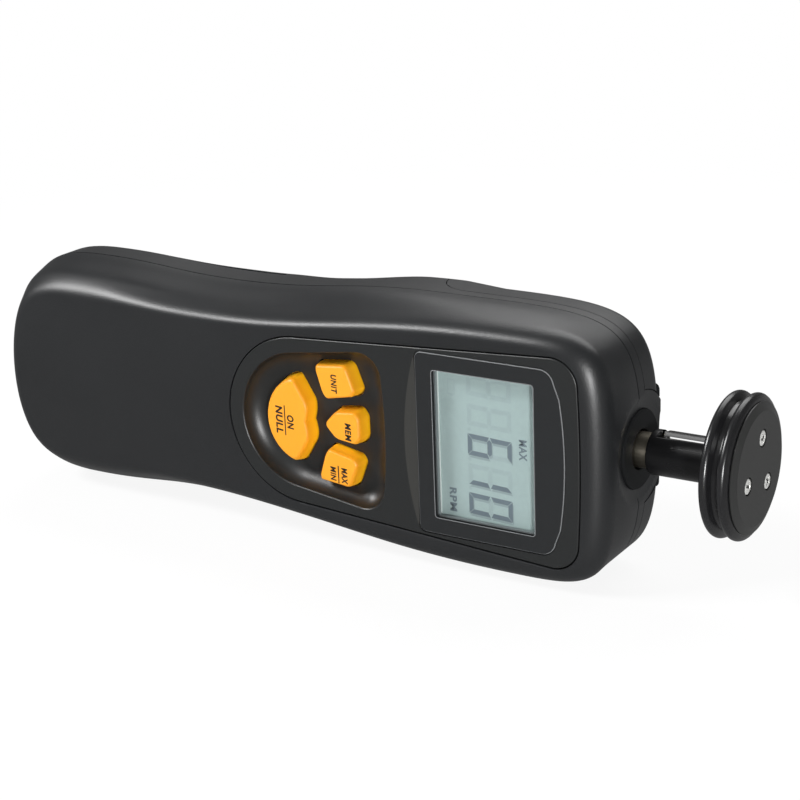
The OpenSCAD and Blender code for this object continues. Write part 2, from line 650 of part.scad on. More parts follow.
// Bearings: grooved races, balls and a cage
pitch_r = (bearing_r + spindle_r)/2;
ball_r = 0.3*(bearing_r - spindle_r);
race_gap = 0.03;
race_edge = 0.45*ball_r;
front_bearing_x = block_x1 - bearing_w - 0.8;
rear_bearing_x = block_x0 + 0.3;
module race(x, r0, r1) on_spindle() translate([0, 0, x]) difference() {
  cylinder(r = r1, h = bearing_w);
  translate([0, 0, -over]) cylinder(r = r0, h = bearing_w + 2*over);
  translate([0, 0, bearing_w/2]) rotate_extrude() translate([pitch_r, 0]) circle(r = ball_r + race_gap);
}
module outer_race(x) color("#b8bbbe") race(x, pitch_r + race_edge, bearing_r);
module inner_race(x) color("#b8bbbe") race(x, spindle_r + run_gap, pitch_r - race_edge);
module balls(x) color("#d6d8da") on_spindle() for (i = [0:ball_count - 1])
  rotate(360*i/ball_count) translate([pitch_r, 0, x + bearing_w/2]) sphere(r = ball_r);
cage_t = 0.5*ball_r;
cage_w = bearing_w - 0.8;
module cage(x) color("#a88444") on_spindle() translate([0, 0, x + bearing_w/2]) difference() {
  translate([0, 0, -cage_w/2]) cylinder(r = pitch_r + cage_t/2, h = cage_w);
  translate([0, 0, -cage_w/2 - over]) cylinder(r = pitch_r - cage_t/2, h = cage_w + 2*over);
  for (i = [0:ball_count - 1]) rotate(360*i/ball_count) translate([pitch_r - cage_t, 0, 0])
    rotate([0, 90, 0]) cylinder(r = ball_r + race_gap, h = 2*cage_t);
}
module front_outer_race() outer_race(front_bearing_x);
module rear_outer_race() outer_race(rear_bearing_x);
module front_inner_race() inner_race(front_bearing_x);
module rear_inner_race() inner_race(rear_bearing_x);
module front_balls() balls(front_bearing_x);
module rear_balls() balls(rear_bearing_x);
module front_cage() cage(front_bearing_x);
module rear_cage() cage(rear_bearing_x);

block_r = bearing_r + 1.7;
module bearing_block() color("#8f9296") difference() {
  union() {
    on_spindle() translate([0, 0, block_x0]) cylinder(r = block_r, h = block_x1 - block_x0);
    for (x = wing_x) block([x - 4, wing_y0, -wing_z - 3.5], [x + 4, wing_y0 + wing_t, wing_z + 3.5]);
  }
  on_spindle() {
    translate([0, 0, block_x0 - over]) cylinder(r = bearing_r - 1, h = block_x1 - block_x0 + 2*over);
    translate([0, 0, block_x0 - over]) cylinder(r = bearing_r + run_gap, h = rear_bearing_x - block_x0 + bearing_w + over);
    translate([0, 0, front_bearing_x]) cylinder(r = bearing_r + run_gap, h = block_x1 - front_bearing_x + over);
  }
  for (x = wing_x) both_sides([x, wing_z]) peg(0, 0, shank_r + fit_gap, wing_y0 - over, wing_y0 + wing_t + over);
}
module block_screws() color("#c4c6c8") for (x = wing_x) both_sides([x, wing_z]) {
  peg(0, 0, head_r, wing_y0 - head_h, wing_y0);
  peg(0, 0, shank_r, wing_y0, wing_y0 + wing_t + 3);
}

// Spindle, its ring and the drive pin
ring_x = rear_bearing_x - 0.6;
ring_t = 0.6;
groove_r = spindle_r - 0.4;
pin_r = 0.8;
pin_x = sleeve_x + 2.9;
pin_angle = 160;
pin_reach = sleeve_r - 0.6;
shoulder_x0 = block_x1 + 0.2;
module spindle() color("#8d8478") on_spindle() difference() {
  union() {
    translate([0, 0, disc_x - 3.5]) cylinder(r = spindle_r, h = shoulder_x0 - disc_x + 3.5);
    translate([0, 0, front_bearing_x + bearing_w]) cylinder(r = spindle_r + 0.9, h = shoulder_x0 - front_bearing_x - bearing_w);
    translate([0, 0, shoulder_x0]) cylinder(r = shoulder_r, h = sleeve_x - shoulder_x0);
    translate([0, 0, sleeve_x]) cylinder(r = nose_r, h = nose_l - 0.6);
    translate([0, 0, sleeve_x + nose_l - 0.6]) cylinder(r1 = nose_r, r2 = nose_r - 0.6, h = 0.6);
  }
  translate([0, 0, ring_x]) difference() {
    cylinder(r = spindle_r + over, h = ring_t);
    translate([0, 0, -over]) cylinder(r = groove_r, h = ring_t + 2*over);
  }
  translate([0, 0, pin_x]) rotate(pin_angle) rotate([0, 90, 0]) cylinder(r = pin_r, h = sleeve_r);
}
module drive_pin() color("#cfd1d3") on_spindle() translate([0, 0, pin_x])
  rotate(pin_angle) rotate([0, 90, 0]) cylinder(r = pin_r, h = pin_reach);
module retaining_ring() color("#55585c") on_spindle() translate([0, 0, ring_x]) difference() {
  cylinder(r = spindle_r + 1.6, h = ring_t);
  translate([0, 0, -over]) cylinder(r = groove_r + run_gap, h = ring_t + 2*over);
  translate([0, -groove_r*0.8, -over]) cube([spindle_r + 1.6 + over, groove_r*1.6, ring_t + 2*over]);
}
module nose_collar() color("#333537") on_spindle() difference() {
  union() {
    translate([0, 0, collar_x0]) cylinder(r = collar_r, h = collar_x1 - collar_x0);
    translate([0, 0, collar_x0]) cylinder(r = flange_r, h = flange_x1 - collar_x0);
  }
  translate([0, 0, collar_x0 - over]) cylinder(r = hole_r, h = collar_x1 - collar_x0 + 2*over);
}

// Battery, snap contact and leads
module battery() color("#b5872e") {
  block([bay_x0 + 0.2, deck_y - deck_t - battery_t, -battery_w/2],
    [bay_x0 + battery_l - 2, deck_y - deck_t, battery_w/2]);
  for (s = [1, -1]) translate([bay_x0 + battery_l - 2, bay_y + battery_t/2, s*6.35]) rotate([0, 90, 0])
    cylinder(r = 2.9, h = 2.2);
}
module battery_snap() color("#232426") block([snap_x, bay_y + battery_t/2 - 5, -bay_hz + 1], [snap_x + 3, bay_y + battery_t/2 + 5, bay_hz - 1]);
lead_r = 0.7;
// A tube along a path in 3D, with square ends
function turn(u) = u/norm(u);
function side_of(d) = turn(cross(d, [0, 1, 0.001]));
module tube(path, r) {
  m = 8;
  stack([for (i = [0:len(path) - 1])
    let (d = turn(path[min(i + 1, len(path) - 1)] - path[max(i - 1, 0)]), u = side_of(d), v = cross(d, u))
    [for (k = [0:m - 1]) path[i] + r*(cos(360*k/m)*v + sin(360*k/m)*u)]]);
}
lead_steps = 8;
module battery_leads() color("#a02020") for (s = [1, -1])
  tube([for (i = [0:lead_steps]) cubic([snap_x + 3, bay_y + 5.5, s*2],
    [snap_x + 3 + 8, bay_y + 5.5, s*2], [board_x0 - 8, board_y + 3, s*7],
    [board_x0 + 3, board_back + lead_r, s*7], i/lead_steps)], lead_r);

module housing_screws() color("#8d9093") {
  both_sides(handle_post) screw(deck_y - head_h - 0.3, deck_y - head_h - seam_depth + 6);
  both_sides(mid_post) screw(deck_y - 3, deck_y - 3 - seam_depth + 6);
}
module head_screws() color("#8d9093") both_sides(head_post) screw(cover_y + 5, cover_y + 5 - seam_depth + 6);

// Adapter: sleeve with a slot for the pin, a notch and a slit that frees a tongue
bore_gap = 0.05;
notch_w = 1.8;
slit_w = 0.6;
slit_r = 0.64*sleeve_r;
slot_w = 2*pin_r + 0.3;
socket_l = 3;
hub_r = wheel_r - 3.4;
module adapter_sleeve() color("#1c1d1f") on_spindle() difference() {
  translate([0, 0, sleeve_x]) cylinder(r = sleeve_r, h = sleeve_l + socket_l);
  translate([0, 0, sleeve_x - over]) cylinder(r = nose_r + bore_gap, h = nose_l + over + 1);
  rotate(pin_angle) {
    translate([0, -slot_w/2, sleeve_x - over]) cube([sleeve_r + over, slot_w, pin_x - sleeve_x + slot_w/2 + over]);
    translate([slit_r, -sleeve_r - over, pin_x - notch_w/2]) cube([sleeve_r, 2*(sleeve_r + over), notch_w]);
    translate([slit_r, -sleeve_r - over, pin_x]) cube([slit_w, 2*(sleeve_r + over), sleeve_l - 4]);
  }
}
cap_r = wheel_r - 2.5;
cap_t = cap_x - cap_x0;
cap_edge = 0.4;
cap_round = 1.8;
plug_r = hub_r - 1.8;
plug_t = 1.9;
cap_turn = 166.9;
cap_head_t = 0.8;
cap_shank_r = 0.9;
module around_cap() for (i = [0:cap_screw_count - 1])
  rotate(cap_turn + 360*i/cap_screw_count) translate([cap_screw_circle, 0, 0]) children();
module wheel_hub() color("#1f2022") on_spindle() difference() {
  translate([0, 0, hub_x]) cylinder(r = hub_r, h = cap_x0 - hub_x);
  translate([0, 0, hub_x - over]) cylinder(r = sleeve_r + run_gap, h = socket_l + over);
  translate([0, 0, cap_x0 - plug_t - fit_gap]) cylinder(r = plug_r + fit_gap, h = plug_t + fit_gap + over);
  around_cap() translate([0, 0, hub_x + 1.5]) cylinder(r = cap_shank_r, h = cap_x0 - hub_x);
}
module tyre() color("#151517") on_spindle() rotate_extrude() difference() {
  union() {
    for (x = [rib1_x, rib2_x]) translate([wheel_r - rib_r, x]) circle(r = rib_r);
    translate([hub_r, rib1_x - 1]) square([wheel_r - rib_r - hub_r, rib_pitch + 2]);
  }
  translate([0, rib1_x - rib_r - over]) square([hub_r, rib_pitch + 2*rib_r + 2*over]);
}
module wheel_cap() color("#3c3e3c") on_spindle() difference() {
  union() {
    translate([0, 0, cap_x0 - plug_t]) cylinder(r = plug_r, h = plug_t);
    translate([0, 0, cap_x0]) cylinder(r = cap_r, h = cap_edge);
    translate([0, 0, cap_x0 + cap_edge]) cylinder(r1 = cap_r, r2 = cap_r - cap_round, h = cap_t - cap_edge);
  }
  around_cap() {
    translate([0, 0, cap_x0 - plug_t - over]) cylinder(r = cap_shank_r + fit_gap, h = plug_t + cap_t + 2*over);
    translate([0, 0, cap_x - cap_head_t]) cylinder(r = head_r, h = cap_head_t + over);
  }
}
module cap_screws() color("#d9dadb") on_spindle() around_cap() difference() {
  union() {
    translate([0, 0, cap_x - cap_head_t]) cylinder(r = head_r - fit_gap, h = cap_head_t);
    translate([0, 0, hub_x + 1.8]) cylinder(r = cap_shank_r, h = cap_x - cap_head_t - hub_x - 1.8);
  }
  for (a = [0, 90]) rotate(a) translate([-head_r*0.6, -recess_w/2, cap_x - cap_head_t/2])
    cube([head_r*1.2, recess_w, over]);
}

stand() front_shell();
stand() rear_shell();
stand() head_cover();
stand() front_panel();
stand() window_lens();
stand() display_glass();
stand() display_holder();
stand() contact_strips();
stand() key_on();
stand() key_unit();
stand() key_mem();
stand() key_maxmin();
stand() key_domes();
stand() main_board();
stand() board_parts();
stand() optical_fork();
stand() bearing_block();
stand() block_screws();
stand() front_outer_race();
stand() rear_outer_race();
stand() front_inner_race();
stand() rear_inner_race();
stand() front_balls();
stand() rear_balls();
stand() front_cage();
stand() rear_cage();
stand() spindle();
stand() drive_pin();
stand() encoder_disc();
stand() retaining_ring();
stand() nose_collar();
stand() battery_door();
stand() battery();
stand() battery_snap();
stand() battery_leads();
stand() housing_screws();
stand() head_screws();
stand() board_screws();
stand() adapter_sleeve();
stand() wheel_hub();
stand() tyre();
stand() wheel_cap();
stand() cap_screws();
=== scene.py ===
"""Contact tachometer: finished pieces, finishes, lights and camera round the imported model."""

import json
import math

import bmesh
import bpy
from bpy.props import FloatProperty, FloatVectorProperty, IntProperty, PointerProperty
from mathutils import Matrix, Vector
from mathutils.geometry import tessellate_polygon


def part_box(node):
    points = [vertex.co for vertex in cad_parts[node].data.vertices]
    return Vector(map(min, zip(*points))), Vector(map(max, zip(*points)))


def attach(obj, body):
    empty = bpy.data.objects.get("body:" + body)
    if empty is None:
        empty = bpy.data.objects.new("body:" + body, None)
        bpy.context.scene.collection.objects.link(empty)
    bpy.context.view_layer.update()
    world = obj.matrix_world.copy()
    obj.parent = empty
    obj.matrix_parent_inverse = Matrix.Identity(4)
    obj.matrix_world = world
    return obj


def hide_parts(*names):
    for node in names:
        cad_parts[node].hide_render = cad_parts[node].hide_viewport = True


bl_info = {
    "name": "Contact tachometer",
    "version": (1, 0, 0),
    "blender": (4, 5, 0),
    "location": "View3D > Sidebar > Tachometer",
    "description": "Builds the finished pieces of a hand-held contact tachometer",
    "category": "Object",
}

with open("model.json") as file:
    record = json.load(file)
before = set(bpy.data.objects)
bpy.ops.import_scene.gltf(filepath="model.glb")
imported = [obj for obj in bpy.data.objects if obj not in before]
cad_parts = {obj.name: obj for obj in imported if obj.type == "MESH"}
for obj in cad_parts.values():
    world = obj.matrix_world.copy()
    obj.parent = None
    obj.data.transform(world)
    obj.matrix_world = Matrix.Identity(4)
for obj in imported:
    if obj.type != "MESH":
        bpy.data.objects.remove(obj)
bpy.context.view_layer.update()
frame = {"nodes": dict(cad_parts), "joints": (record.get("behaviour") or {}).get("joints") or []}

# Device coordinates are millimetres from the handle's end, the front face and the middle
MM = 0.001
SHELL_LOW, SHELL_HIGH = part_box("front_shell")
ORIGIN = Vector((SHELL_LOW.x, SHELL_LOW.y, (SHELL_LOW.z + SHELL_HIGH.z) / 2))


def extent(node):
    """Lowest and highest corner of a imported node, in device millimetres."""
    low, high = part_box(node)
    return (low - ORIGIN) / MM, (high - ORIGIN) / MM


SPINDLE = next(joint for joint in frame["joints"] if joint["name"] == "spindle_spin")
SHAFT_Y = (SPINDLE["pos_m"][1] - ORIGIN.y) / MM
END_X = extent("front_shell")[1].x
HEAD_HW = (SHELL_HIGH.z - SHELL_LOW.z) / 2 / MM
SEAM_Y = extent("front_shell")[1].y
OVER = 1.0


class TachoSizes(bpy.types.PropertyGroup):
    """Sizes of the finished pieces."""

    edge_depth: FloatProperty(
        name="Front edge", description="Depth of the rounded front edge", default=6.5 * MM, unit="LENGTH")
    wall: FloatProperty(
        name="Wall", description="Wall of the shells", default=2.2 * MM, unit="LENGTH")
    well_depth: FloatProperty(
        name="Key well", description="Depth of the key well", default=5.5 * MM, unit="LENGTH")
    key_sink: FloatProperty(
        name="Key sink", description="Depth of the key tops behind the front face",
        default=1.0 * MM, unit="LENGTH")
    seam_chamfer: FloatProperty(
        name="Seam chamfer", description="Chamfer along the parting lines", default=0.32 * MM, unit="LENGTH")
    grain: FloatProperty(
        name="Grain", description="Size of the moulded grain", default=0.55 * MM, unit="LENGTH")
    turns: IntProperty(
        name="Turned faces", description="Faces round a turned piece", default=144, min=48, max=256)


class TachoColours(bpy.types.PropertyGroup):
    """Colours of the finishes, in linear light."""

    housing: FloatVectorProperty(
        name="Housing", description="Moulded housing", subtype="COLOR", default=(0.011, 0.0117, 0.0127))
    panel: FloatVectorProperty(
        name="Panel", description="Inset front panel", subtype="COLOR", default=(0.0105, 0.0114, 0.0116))
    keys: FloatVectorProperty(
        name="Keys", description="Rubber keys", subtype="COLOR", default=(0.72, 0.28, 0.005))
    display: FloatVectorProperty(
        name="Display", description="Face of the display", subtype="COLOR", default=(0.33, 0.392, 0.386))
    segments: FloatVectorProperty(
        name="Segments", description="Dark segments of the display", subtype="COLOR",
        default=(0.13, 0.155, 0.18))
    tyre: FloatVectorProperty(
        name="Tyre", description="Rubber of the wheel", subtype="COLOR", default=(0.006, 0.006, 0.0065))


def sizes():
    """The sizes that the scene holds."""
    return bpy.context.scene.tacho_sizes


def colours():
    """The colours that the scene holds."""
    return bpy.context.scene.tacho_colours


# Numbers and curves
def mix(a, b, share):
    """A number part of the way from one to another."""
    return a + (b - a) * share


def ease(x, start, end):
    """A share that leaves 0 at the start and arrives at 1 at the end, both gently."""
    t = min(1.0, max(0.0, (x - start) / (end - start)))
    return t * t * (3 - 2 * t)


def cubic(a, b, c, d, t):
    """Point of a cubic curve with four control points of any length."""
    s = 1 - t
    return tuple(
        p * s ** 3 + q * 3 * t * s * s + r * 3 * t * t * s + u * t ** 3 for p, q, r, u in zip(a, b, c, d))


def steps(count, whole=True):
    """Shares from 0 to 1, with 1 itself only where the stretch is whole."""
    return [i / count for i in range(count + (1 if whole else 0))]


def rounding(count):
    """Shares along a quarter round: how far it has drawn in, and how far it still has to rise."""
    angles = [math.radians(90 * t) for t in steps(count)]
    return [(1 - math.cos(a), 1 - math.sin(a)) for a in angles]


def full_turn(count):
    """Angles of a whole turn, in radians, without the end that meets its start."""
    return [2 * math.pi * k / count for k in range(count)]


def arc(centre, radius, start, end, count):
    """Points on an arc between two angles in degrees."""
    angles = [math.radians(mix(start, end, t)) for t in steps(count)]
    return [(centre[0] + radius * math.cos(a), centre[1] + radius * math.sin(a)) for a in angles]


def circle(x, z, radius, count=48):
    """Points of a whole circle."""
    return arc((x, z), radius, 0, 360, count)[:-1]


def bent(a, q, b, t):
    """Point of a curve from a to b that bends towards q."""
    return tuple(a * (1 - t) ** 2 + q * 2 * t * (1 - t) + b * t * t)


def reflected(points):
    """Points on the other side of the middle line, in the opposite order."""
    return [(x, -z) for x, z in reversed(points)]


def mirrored(half):
    """A whole outline from its upper half, which starts and ends on the middle line."""
    return half + reflected(half[1:-1])


def rounded(corners, radius, count=10):
    """A polygon with each corner replaced by a curve."""
    outline = []
    for i, corner in enumerate(corners):
        q = Vector(corner)
        before = Vector(corners[i - 1]) - q
        after = Vector(corners[(i + 1) % len(corners)]) - q
        reach = min(radius, before.length / 2.5, after.length / 2.5)
        a = q + before.normalized() * reach
        b = q + after.normalized() * reach
        outline += [bent(a, q, b, t) for t in steps(count)]
    return outline


def rectangle(x0, x1, z0, z1):
    """The corners of a rectangle."""
    return [(x0, z0), (x0, z1), (x1, z1), (x1, z0)]


def centre_of(outline):
    """The middle of an outline's extent."""
    xs, zs = zip(*outline)
    return ((min(xs) + max(xs)) / 2, (min(zs) + max(zs)) / 2)


def shrunk(outline, share):
    """An outline scaled about its centre."""
    cx, cz = centre_of(outline)
    return [(cx + (x - cx) * share, cz + (z - cz) * share) for x, z in outline]


def grown(outline, distance):
    """An outline moved outwards along its normals."""
    area = sum(a[0] * b[1] - b[0] * a[1] for a, b in zip(outline, outline[1:] + outline[:1]))
    side = math.copysign(distance, area)
    result = []
    for i, (x, z) in enumerate(outline):
        before = Vector((x, z)) - Vector(outline[i - 1])
        after = Vector(outline[(i + 1) % len(outline)]) - Vector((x, z))
        along = (before.normalized() + after.normalized()).normalized()
        result.append((x + along.y * side, z - along.x * side))
    return result


# Outlines of the housing: handle end, waist, head and the corner at the wheel
END_STEPS, WAIST_STEPS, SIDE_STEPS, CORNER_STEPS = 30, 20, 56, 40
HANDLE_FULL_X = 29
WAIST_X = 81
FRONT_WAIST_X = 74
HEAD_FULL_X = END_X - 46
FRONT_FULL_X = END_X - 33
REST_L = 14
FRONT_REST_L = 4
HANDLE_HW = HEAD_HW - 1.7
WAIST_HW = HEAD_HW - 4.1
HEAD_LEAN, HANDLE_LEAN, HANDLE_END_LEAN = 1.2, 3.7, 3.3
REST_DRAW, WAIST_LEAN, END_LEAN = 1.4, 3.6, 0.8
REST_Y = SEAM_Y - 5
FLOW, CORNER_REACH, CORNER_FULL = 0.45, 0.88, 0.97
LCD_H, LCD_W = 42.3, 30.7
LENS_HH = LCD_H / 2 + 4.8
PANEL_HH = LENS_HH + 3.65
FACE_HH = PANEL_HH + 0.9
HANDLE_FACE_HH, FACE_WAIST_HH = 25.4, 24.6
HEAD_BEVEL, HANDLE_BEVEL = 7.5, 8.4
SOFT_END, BLUNT_END, FACE_END = (0.81, 0.2), (0.8, 0.2), (0.88, 0.13)


def housing_outline(x0, x1, handle, waist_x, waist, rest_x, full_x, full, hold=SOFT_END):
    """An outline from the handle's end through the waist to the head's end.

    The numbers after the two ends are half widths and the places where they are reached;
    hold says how square the handle's end is.
    """
    def flowing(xa, za, xb, zb, shares):
        curve = (xa, za), (mix(xa, xb, FLOW), za), (mix(xb, xa, FLOW), zb), (xb, zb)
        return [cubic(*curve, t) for t in shares]

    end = (x0, 0), (x0, hold[0] * handle), (mix(x0, HANDLE_FULL_X, hold[1]), handle), (HANDLE_FULL_X, handle)
    corner = (full_x, full), (mix(full_x, x1, CORNER_REACH), full), (x1, CORNER_FULL * full), (x1, 0)
    return mirrored(
        [cubic(*end, t) for t in steps(END_STEPS, False)]
        + flowing(HANDLE_FULL_X, handle, waist_x, waist, steps(WAIST_STEPS, False))
        + flowing(waist_x, waist, rest_x, full, steps(SIDE_STEPS))
        + [cubic(*corner, t) for t in steps(CORNER_STEPS)])


def seam_outline(o):
    """The parting line, moved inwards by o, as are the three outlines that follow."""
    return housing_outline(o, END_X - o, HANDLE_HW - o, WAIST_X, WAIST_HW - o,
                           HEAD_FULL_X - REST_L, HEAD_FULL_X, HEAD_HW - o)


def rest_outline(o):
    """Where the side starts to lean in towards the front."""
    return housing_outline(REST_DRAW / 2 + o, END_X - o, HANDLE_HW - REST_DRAW - o, WAIST_X,
                           WAIST_HW - REST_DRAW - o, HEAD_FULL_X - REST_L, HEAD_FULL_X, HEAD_HW - o)


def shoulder_outline(o):
    """Where the rounded front edge starts."""
    return housing_outline(HANDLE_END_LEAN + o, END_X - END_LEAN - o, HANDLE_HW - HANDLE_LEAN - o,
                           FRONT_WAIST_X, WAIST_HW - WAIST_LEAN - o,
                           FRONT_FULL_X - FRONT_REST_L, FRONT_FULL_X, HEAD_HW - HEAD_LEAN - o, BLUNT_END)


def face_outline(o):
    """Where the rounded front edge meets the front face."""
    return housing_outline(HANDLE_BEVEL + o, END_X - HEAD_BEVEL - o, HANDLE_FACE_HH - o,
                           FRONT_WAIST_X, FACE_WAIST_HH - o,
                           FRONT_FULL_X - FRONT_REST_L, FRONT_FULL_X, FACE_HH - o, FACE_END)


# The handle's front is crowned: it falls away from the middle line towards its edges
CROWN, CROWN_DEPTH = 3.3, 11
CROWN_FULL_X, CROWN_END_X = 50, 114


def crowned(point):
    """A point of the front shell, moved back where the handle's front is crowned."""
    x, y, z = point
    fall = CROWN * (1 - ease(x, CROWN_FULL_X, CROWN_END_X)) * (1 - ease(y, 0, CROWN_DEPTH))
    across_half = min(1.0, abs(z) / (HANDLE_HW - HANDLE_LEAN))
    return (x, y + fall * (1 - (1 - across_half ** 2) ** 2), z)


# Depth of the back: handle, finger scoop, ridge and head
HEAD_DEPTH = 34
BACK_ROUND = 5
DOOR_L = extent("battery_door")[1].x + 0.3
SCOOP_DEPTH = 1.4
HANDLE_DROP, END_RISE, WAIST_RISE, RIDGE_RISE = 1.4, 0.2, 0.8, 3
# Stretches along the housing over which the back's depth changes
INTO_WAIST = HANDLE_FULL_X + 16, WAIST_X
INTO_SCOOP = DOOR_L + 2, DOOR_L + 21
ONTO_RIDGE = DOOR_L + 27, END_X - 71
OFF_RIDGE = END_X - 59, END_X - 49


def back_depth(x):
    """Depth of the back's outer face at a place along the housing."""
    into_waist, into_scoop, onto_ridge, off_ridge = (
        ease(x, *stretch) for stretch in (INTO_WAIST, INTO_SCOOP, ONTO_RIDGE, OFF_RIDGE))
    return (HEAD_DEPTH - HANDLE_DROP * (1 - into_waist) + END_RISE * (1 - ease(x, 0, HANDLE_FULL_X))
            + WAIST_RISE * into_waist * (1 - into_scoop) - SCOOP_DEPTH * into_scoop * (1 - onto_ridge)
            + RIDGE_RISE * onto_ridge * (1 - off_ridge))


def flat_ring(outline, y):
    """An outline as points at one depth."""
    return [(x, y, z) for x, z in outline]


def stack(outline, *levels):
    """Rings of one outline, each at its own offset and depth."""
    return [flat_ring(outline(o), y) for o, y in levels]


def back_ring(o, angle, inner):
    """A ring on the round edge of the back, on its outer face or on one that lies further in."""
    turn = math.radians(angle)
    drawn = BACK_ROUND * (1 - math.cos(turn))
    return [(x, back_depth(x) - inner - BACK_ROUND * (1 - math.sin(turn)), z)
            for x, z in seam_outline(o + drawn)]


def back_arc(o, inner, count):
    """Rings from the side up to the flat of the back."""
    return [back_ring(o, 90 * t, inner) for t in steps(count)]


# Outlines on the front: panel, key well and lens
FAN_X = END_X - 96.1
LCD_X = END_X - 52.5
FAN_R = 12.8
WELL_R = FAN_R + 7.1
PANEL_R = WELL_R + 5
PANEL_X1 = END_X - 8.7
PANEL_CORNER, PANEL_BULGE = 8, 0.6
WELL_X1 = FAN_X + 27
WELL_HH = WELL_R + 2.9
WELL_CORNER, WELL_BULGE = 7, 0.8
LENS_X0 = LCD_X - 5.2
LENS_X1 = LCD_X + LCD_W + 9.1
LENS_T = 1.6
PANEL_T = 2
FLOOR_T = 1.6


def fan_outline(radius, x1, half_height, corner, bulge):
    """A large arc on the left that runs straight into two corners on the right."""
    cx, cz = x1 - corner - FAN_X, half_height - corner
    meet = math.degrees(math.atan2(cz, cx) + math.acos((radius - corner) / math.hypot(cx, cz)))
    return mirrored(
        arc((FAN_X, 0), radius, 180, meet, 48) + arc((x1 - corner, cz), corner, meet, 0, 18)
        + [(x1 + bulge * (1 - s * s), s * cz) for s in (0.8, 0.6, 0.4, 0.2, 0)])


def panel_outline(o):
    """The groove round the panel, moved outwards by o, as are the well and the lens."""
    return fan_outline(PANEL_R + o, PANEL_X1 + o, PANEL_HH + o, PANEL_CORNER + o, PANEL_BULGE)


def well_outline(o):
    """The rim of the key well."""
    return fan_outline(WELL_R + o, WELL_X1 + o, WELL_HH + o, WELL_CORNER + o, WELL_BULGE)


def lens_outline(o):
    """The lens, with small corners at the keys and a bulging end towards the wheel."""
    left, right, bulge = 2, 4.5, 2.9
    return mirrored(
        [(LENS_X0 - o, 0)] + arc((LENS_X0 + left, LENS_HH - left), left + o, 180, 90, 10)
        + arc((LENS_X1 - bulge - right, LENS_HH - right), right + o, 90, 10, 20)
        + [(LENS_X1 + o - bulge * s * s, s * LENS_HH) for s in (0.7, 0.6, 0.5, 0.4, 0.3, 0.2, 0.1, 0)])


def box_outline(x0, x1, half_height, corner):
    """A rectangle with round corners."""
    return rounded(rectangle(x0, x1, -half_height, half_height), corner)


def window_outline():
    """The opening over the display."""
    return box_outline(LCD_X, LCD_X + LCD_W, LCD_H / 2, 0.9)


# Outlines of the keys, in shares of the fan's radius from its centre
def on_fan(shares):
    return [(FAN_X + FAN_R * x, FAN_R * z) for x, z in shares]


def fan_key():
    """The large key: an arc with a round tip at each end and a lobe on its inner side."""
    tip, tip_bend, lobe_bend = math.radians(103), 1.3, 2.4
    stretch, lower = 1.06, 0.55
    lobe, middle = (Vector(point) for point in on_fan([(0.2, 0.33), (0.09, 0)]))
    corner = Vector((FAN_X + FAN_R * math.cos(tip), FAN_R * math.sin(tip)))
    edge = arc((FAN_X, 0), FAN_R, 180, 110, 40)
    side = (lobe - corner).normalized()
    tip_round = [bent(Vector(edge[-1]), corner, corner + side * tip_bend, t) for t in steps(8)][1:]
    lobe_round = [bent(lobe - side * lobe_bend, lobe, middle, t) for t in steps(10)]
    return [(x, z * stretch - lower) for x, z in mirrored(edge + tip_round + lobe_round)]


UNIT_SHARES = [
    (0.36, 1.35), (1.195, 1.44), (1.43, 0.84), (1.34, 0.7), (0.62, 0.555), (0.515, 0.7), (0.35, 1.23)]
MEM_SHARES = [(0.525, 0), (0.835, 0.335), (1.39, 0.4), (1.515, 0.235)]
KEY_ROUND = 1.6
KEY_OUTLINES = {
    "key_on": fan_key(),
    "key_unit": rounded(on_fan(UNIT_SHARES), KEY_ROUND),
    "key_maxmin": rounded(on_fan(reflected(UNIT_SHARES)), KEY_ROUND),
    "key_mem": rounded(on_fan(MEM_SHARES + reflected(MEM_SHARES[1:])), KEY_ROUND),
}


# Solids, in device millimetres
def form(points, faces, kinds=(), merge=1e-5):
    """A closed mesh with its faces turned outwards; kinds are its faces' places in a list of finishes."""
    mesh = bpy.data.meshes.new("form")
    mesh.from_pydata(points, [], faces)
    if kinds:
        mesh.polygons.foreach_set("material_index", kinds)
    made = bmesh.new()
    made.from_mesh(mesh)
    bmesh.ops.remove_doubles(made, verts=made.verts, dist=merge)
    bmesh.ops.recalc_face_normals(made, faces=made.faces)
    made.to_mesh(mesh)
    made.free()
    return mesh


def band(n, k):
    """Faces between ring k and the next, of n points each."""
    return [(k * n + i, k * n + (i + 1) % n, (k + 1) * n + (i + 1) % n, (k + 1) * n + i) for i in range(n)]


def ring_solid(rings, strips=False):
    """A solid through rings of equal count, closed by strips across or by one face at each end."""
    n, last = len(rings[0]), (len(rings) - 1) * len(rings[0])
    faces = [face for k in range(len(rings) - 1) for face in band(n, k)]
    for base in (0, last):
        if strips:
            for i in range(n // 2):
                quad = dict.fromkeys((i, i + 1, (n - i - 1) % n, (n - i) % n))
                faces.append(tuple(base + p for p in quad))
        else:
            faces.append(tuple(base + i for i in range(n)))
    return form([p for ring in rings for p in ring], faces)


def slab(outline, y0, y1):
    """An outline extruded along Y."""
    return ring_solid([flat_ring(outline, y0), flat_ring(outline, y1)])


def block(low, high):
    """A box between two corners."""
    (x0, y0, z0), (x1, y1, z1) = low, high
    return slab(rectangle(x0, x1, z0, z1), y0, y1)


def beam(x0, x1, y0, y1, half_width):
    """A block that reaches evenly to both sides of the middle."""
    return block((x0, y0, -half_width), (x1, y1, half_width))


def peg(x, z, radius, y0, y1):
    """A cylinder along Y."""
    return slab(circle(x, z, radius), y0, y1)


def pegs(xs, z, radius, y0, y1):
    """Like cylinders at places along the housing, on both sides of its middle."""
    return [peg(x, side * z, radius, y0, y1) for x in xs for side in (1, -1)]


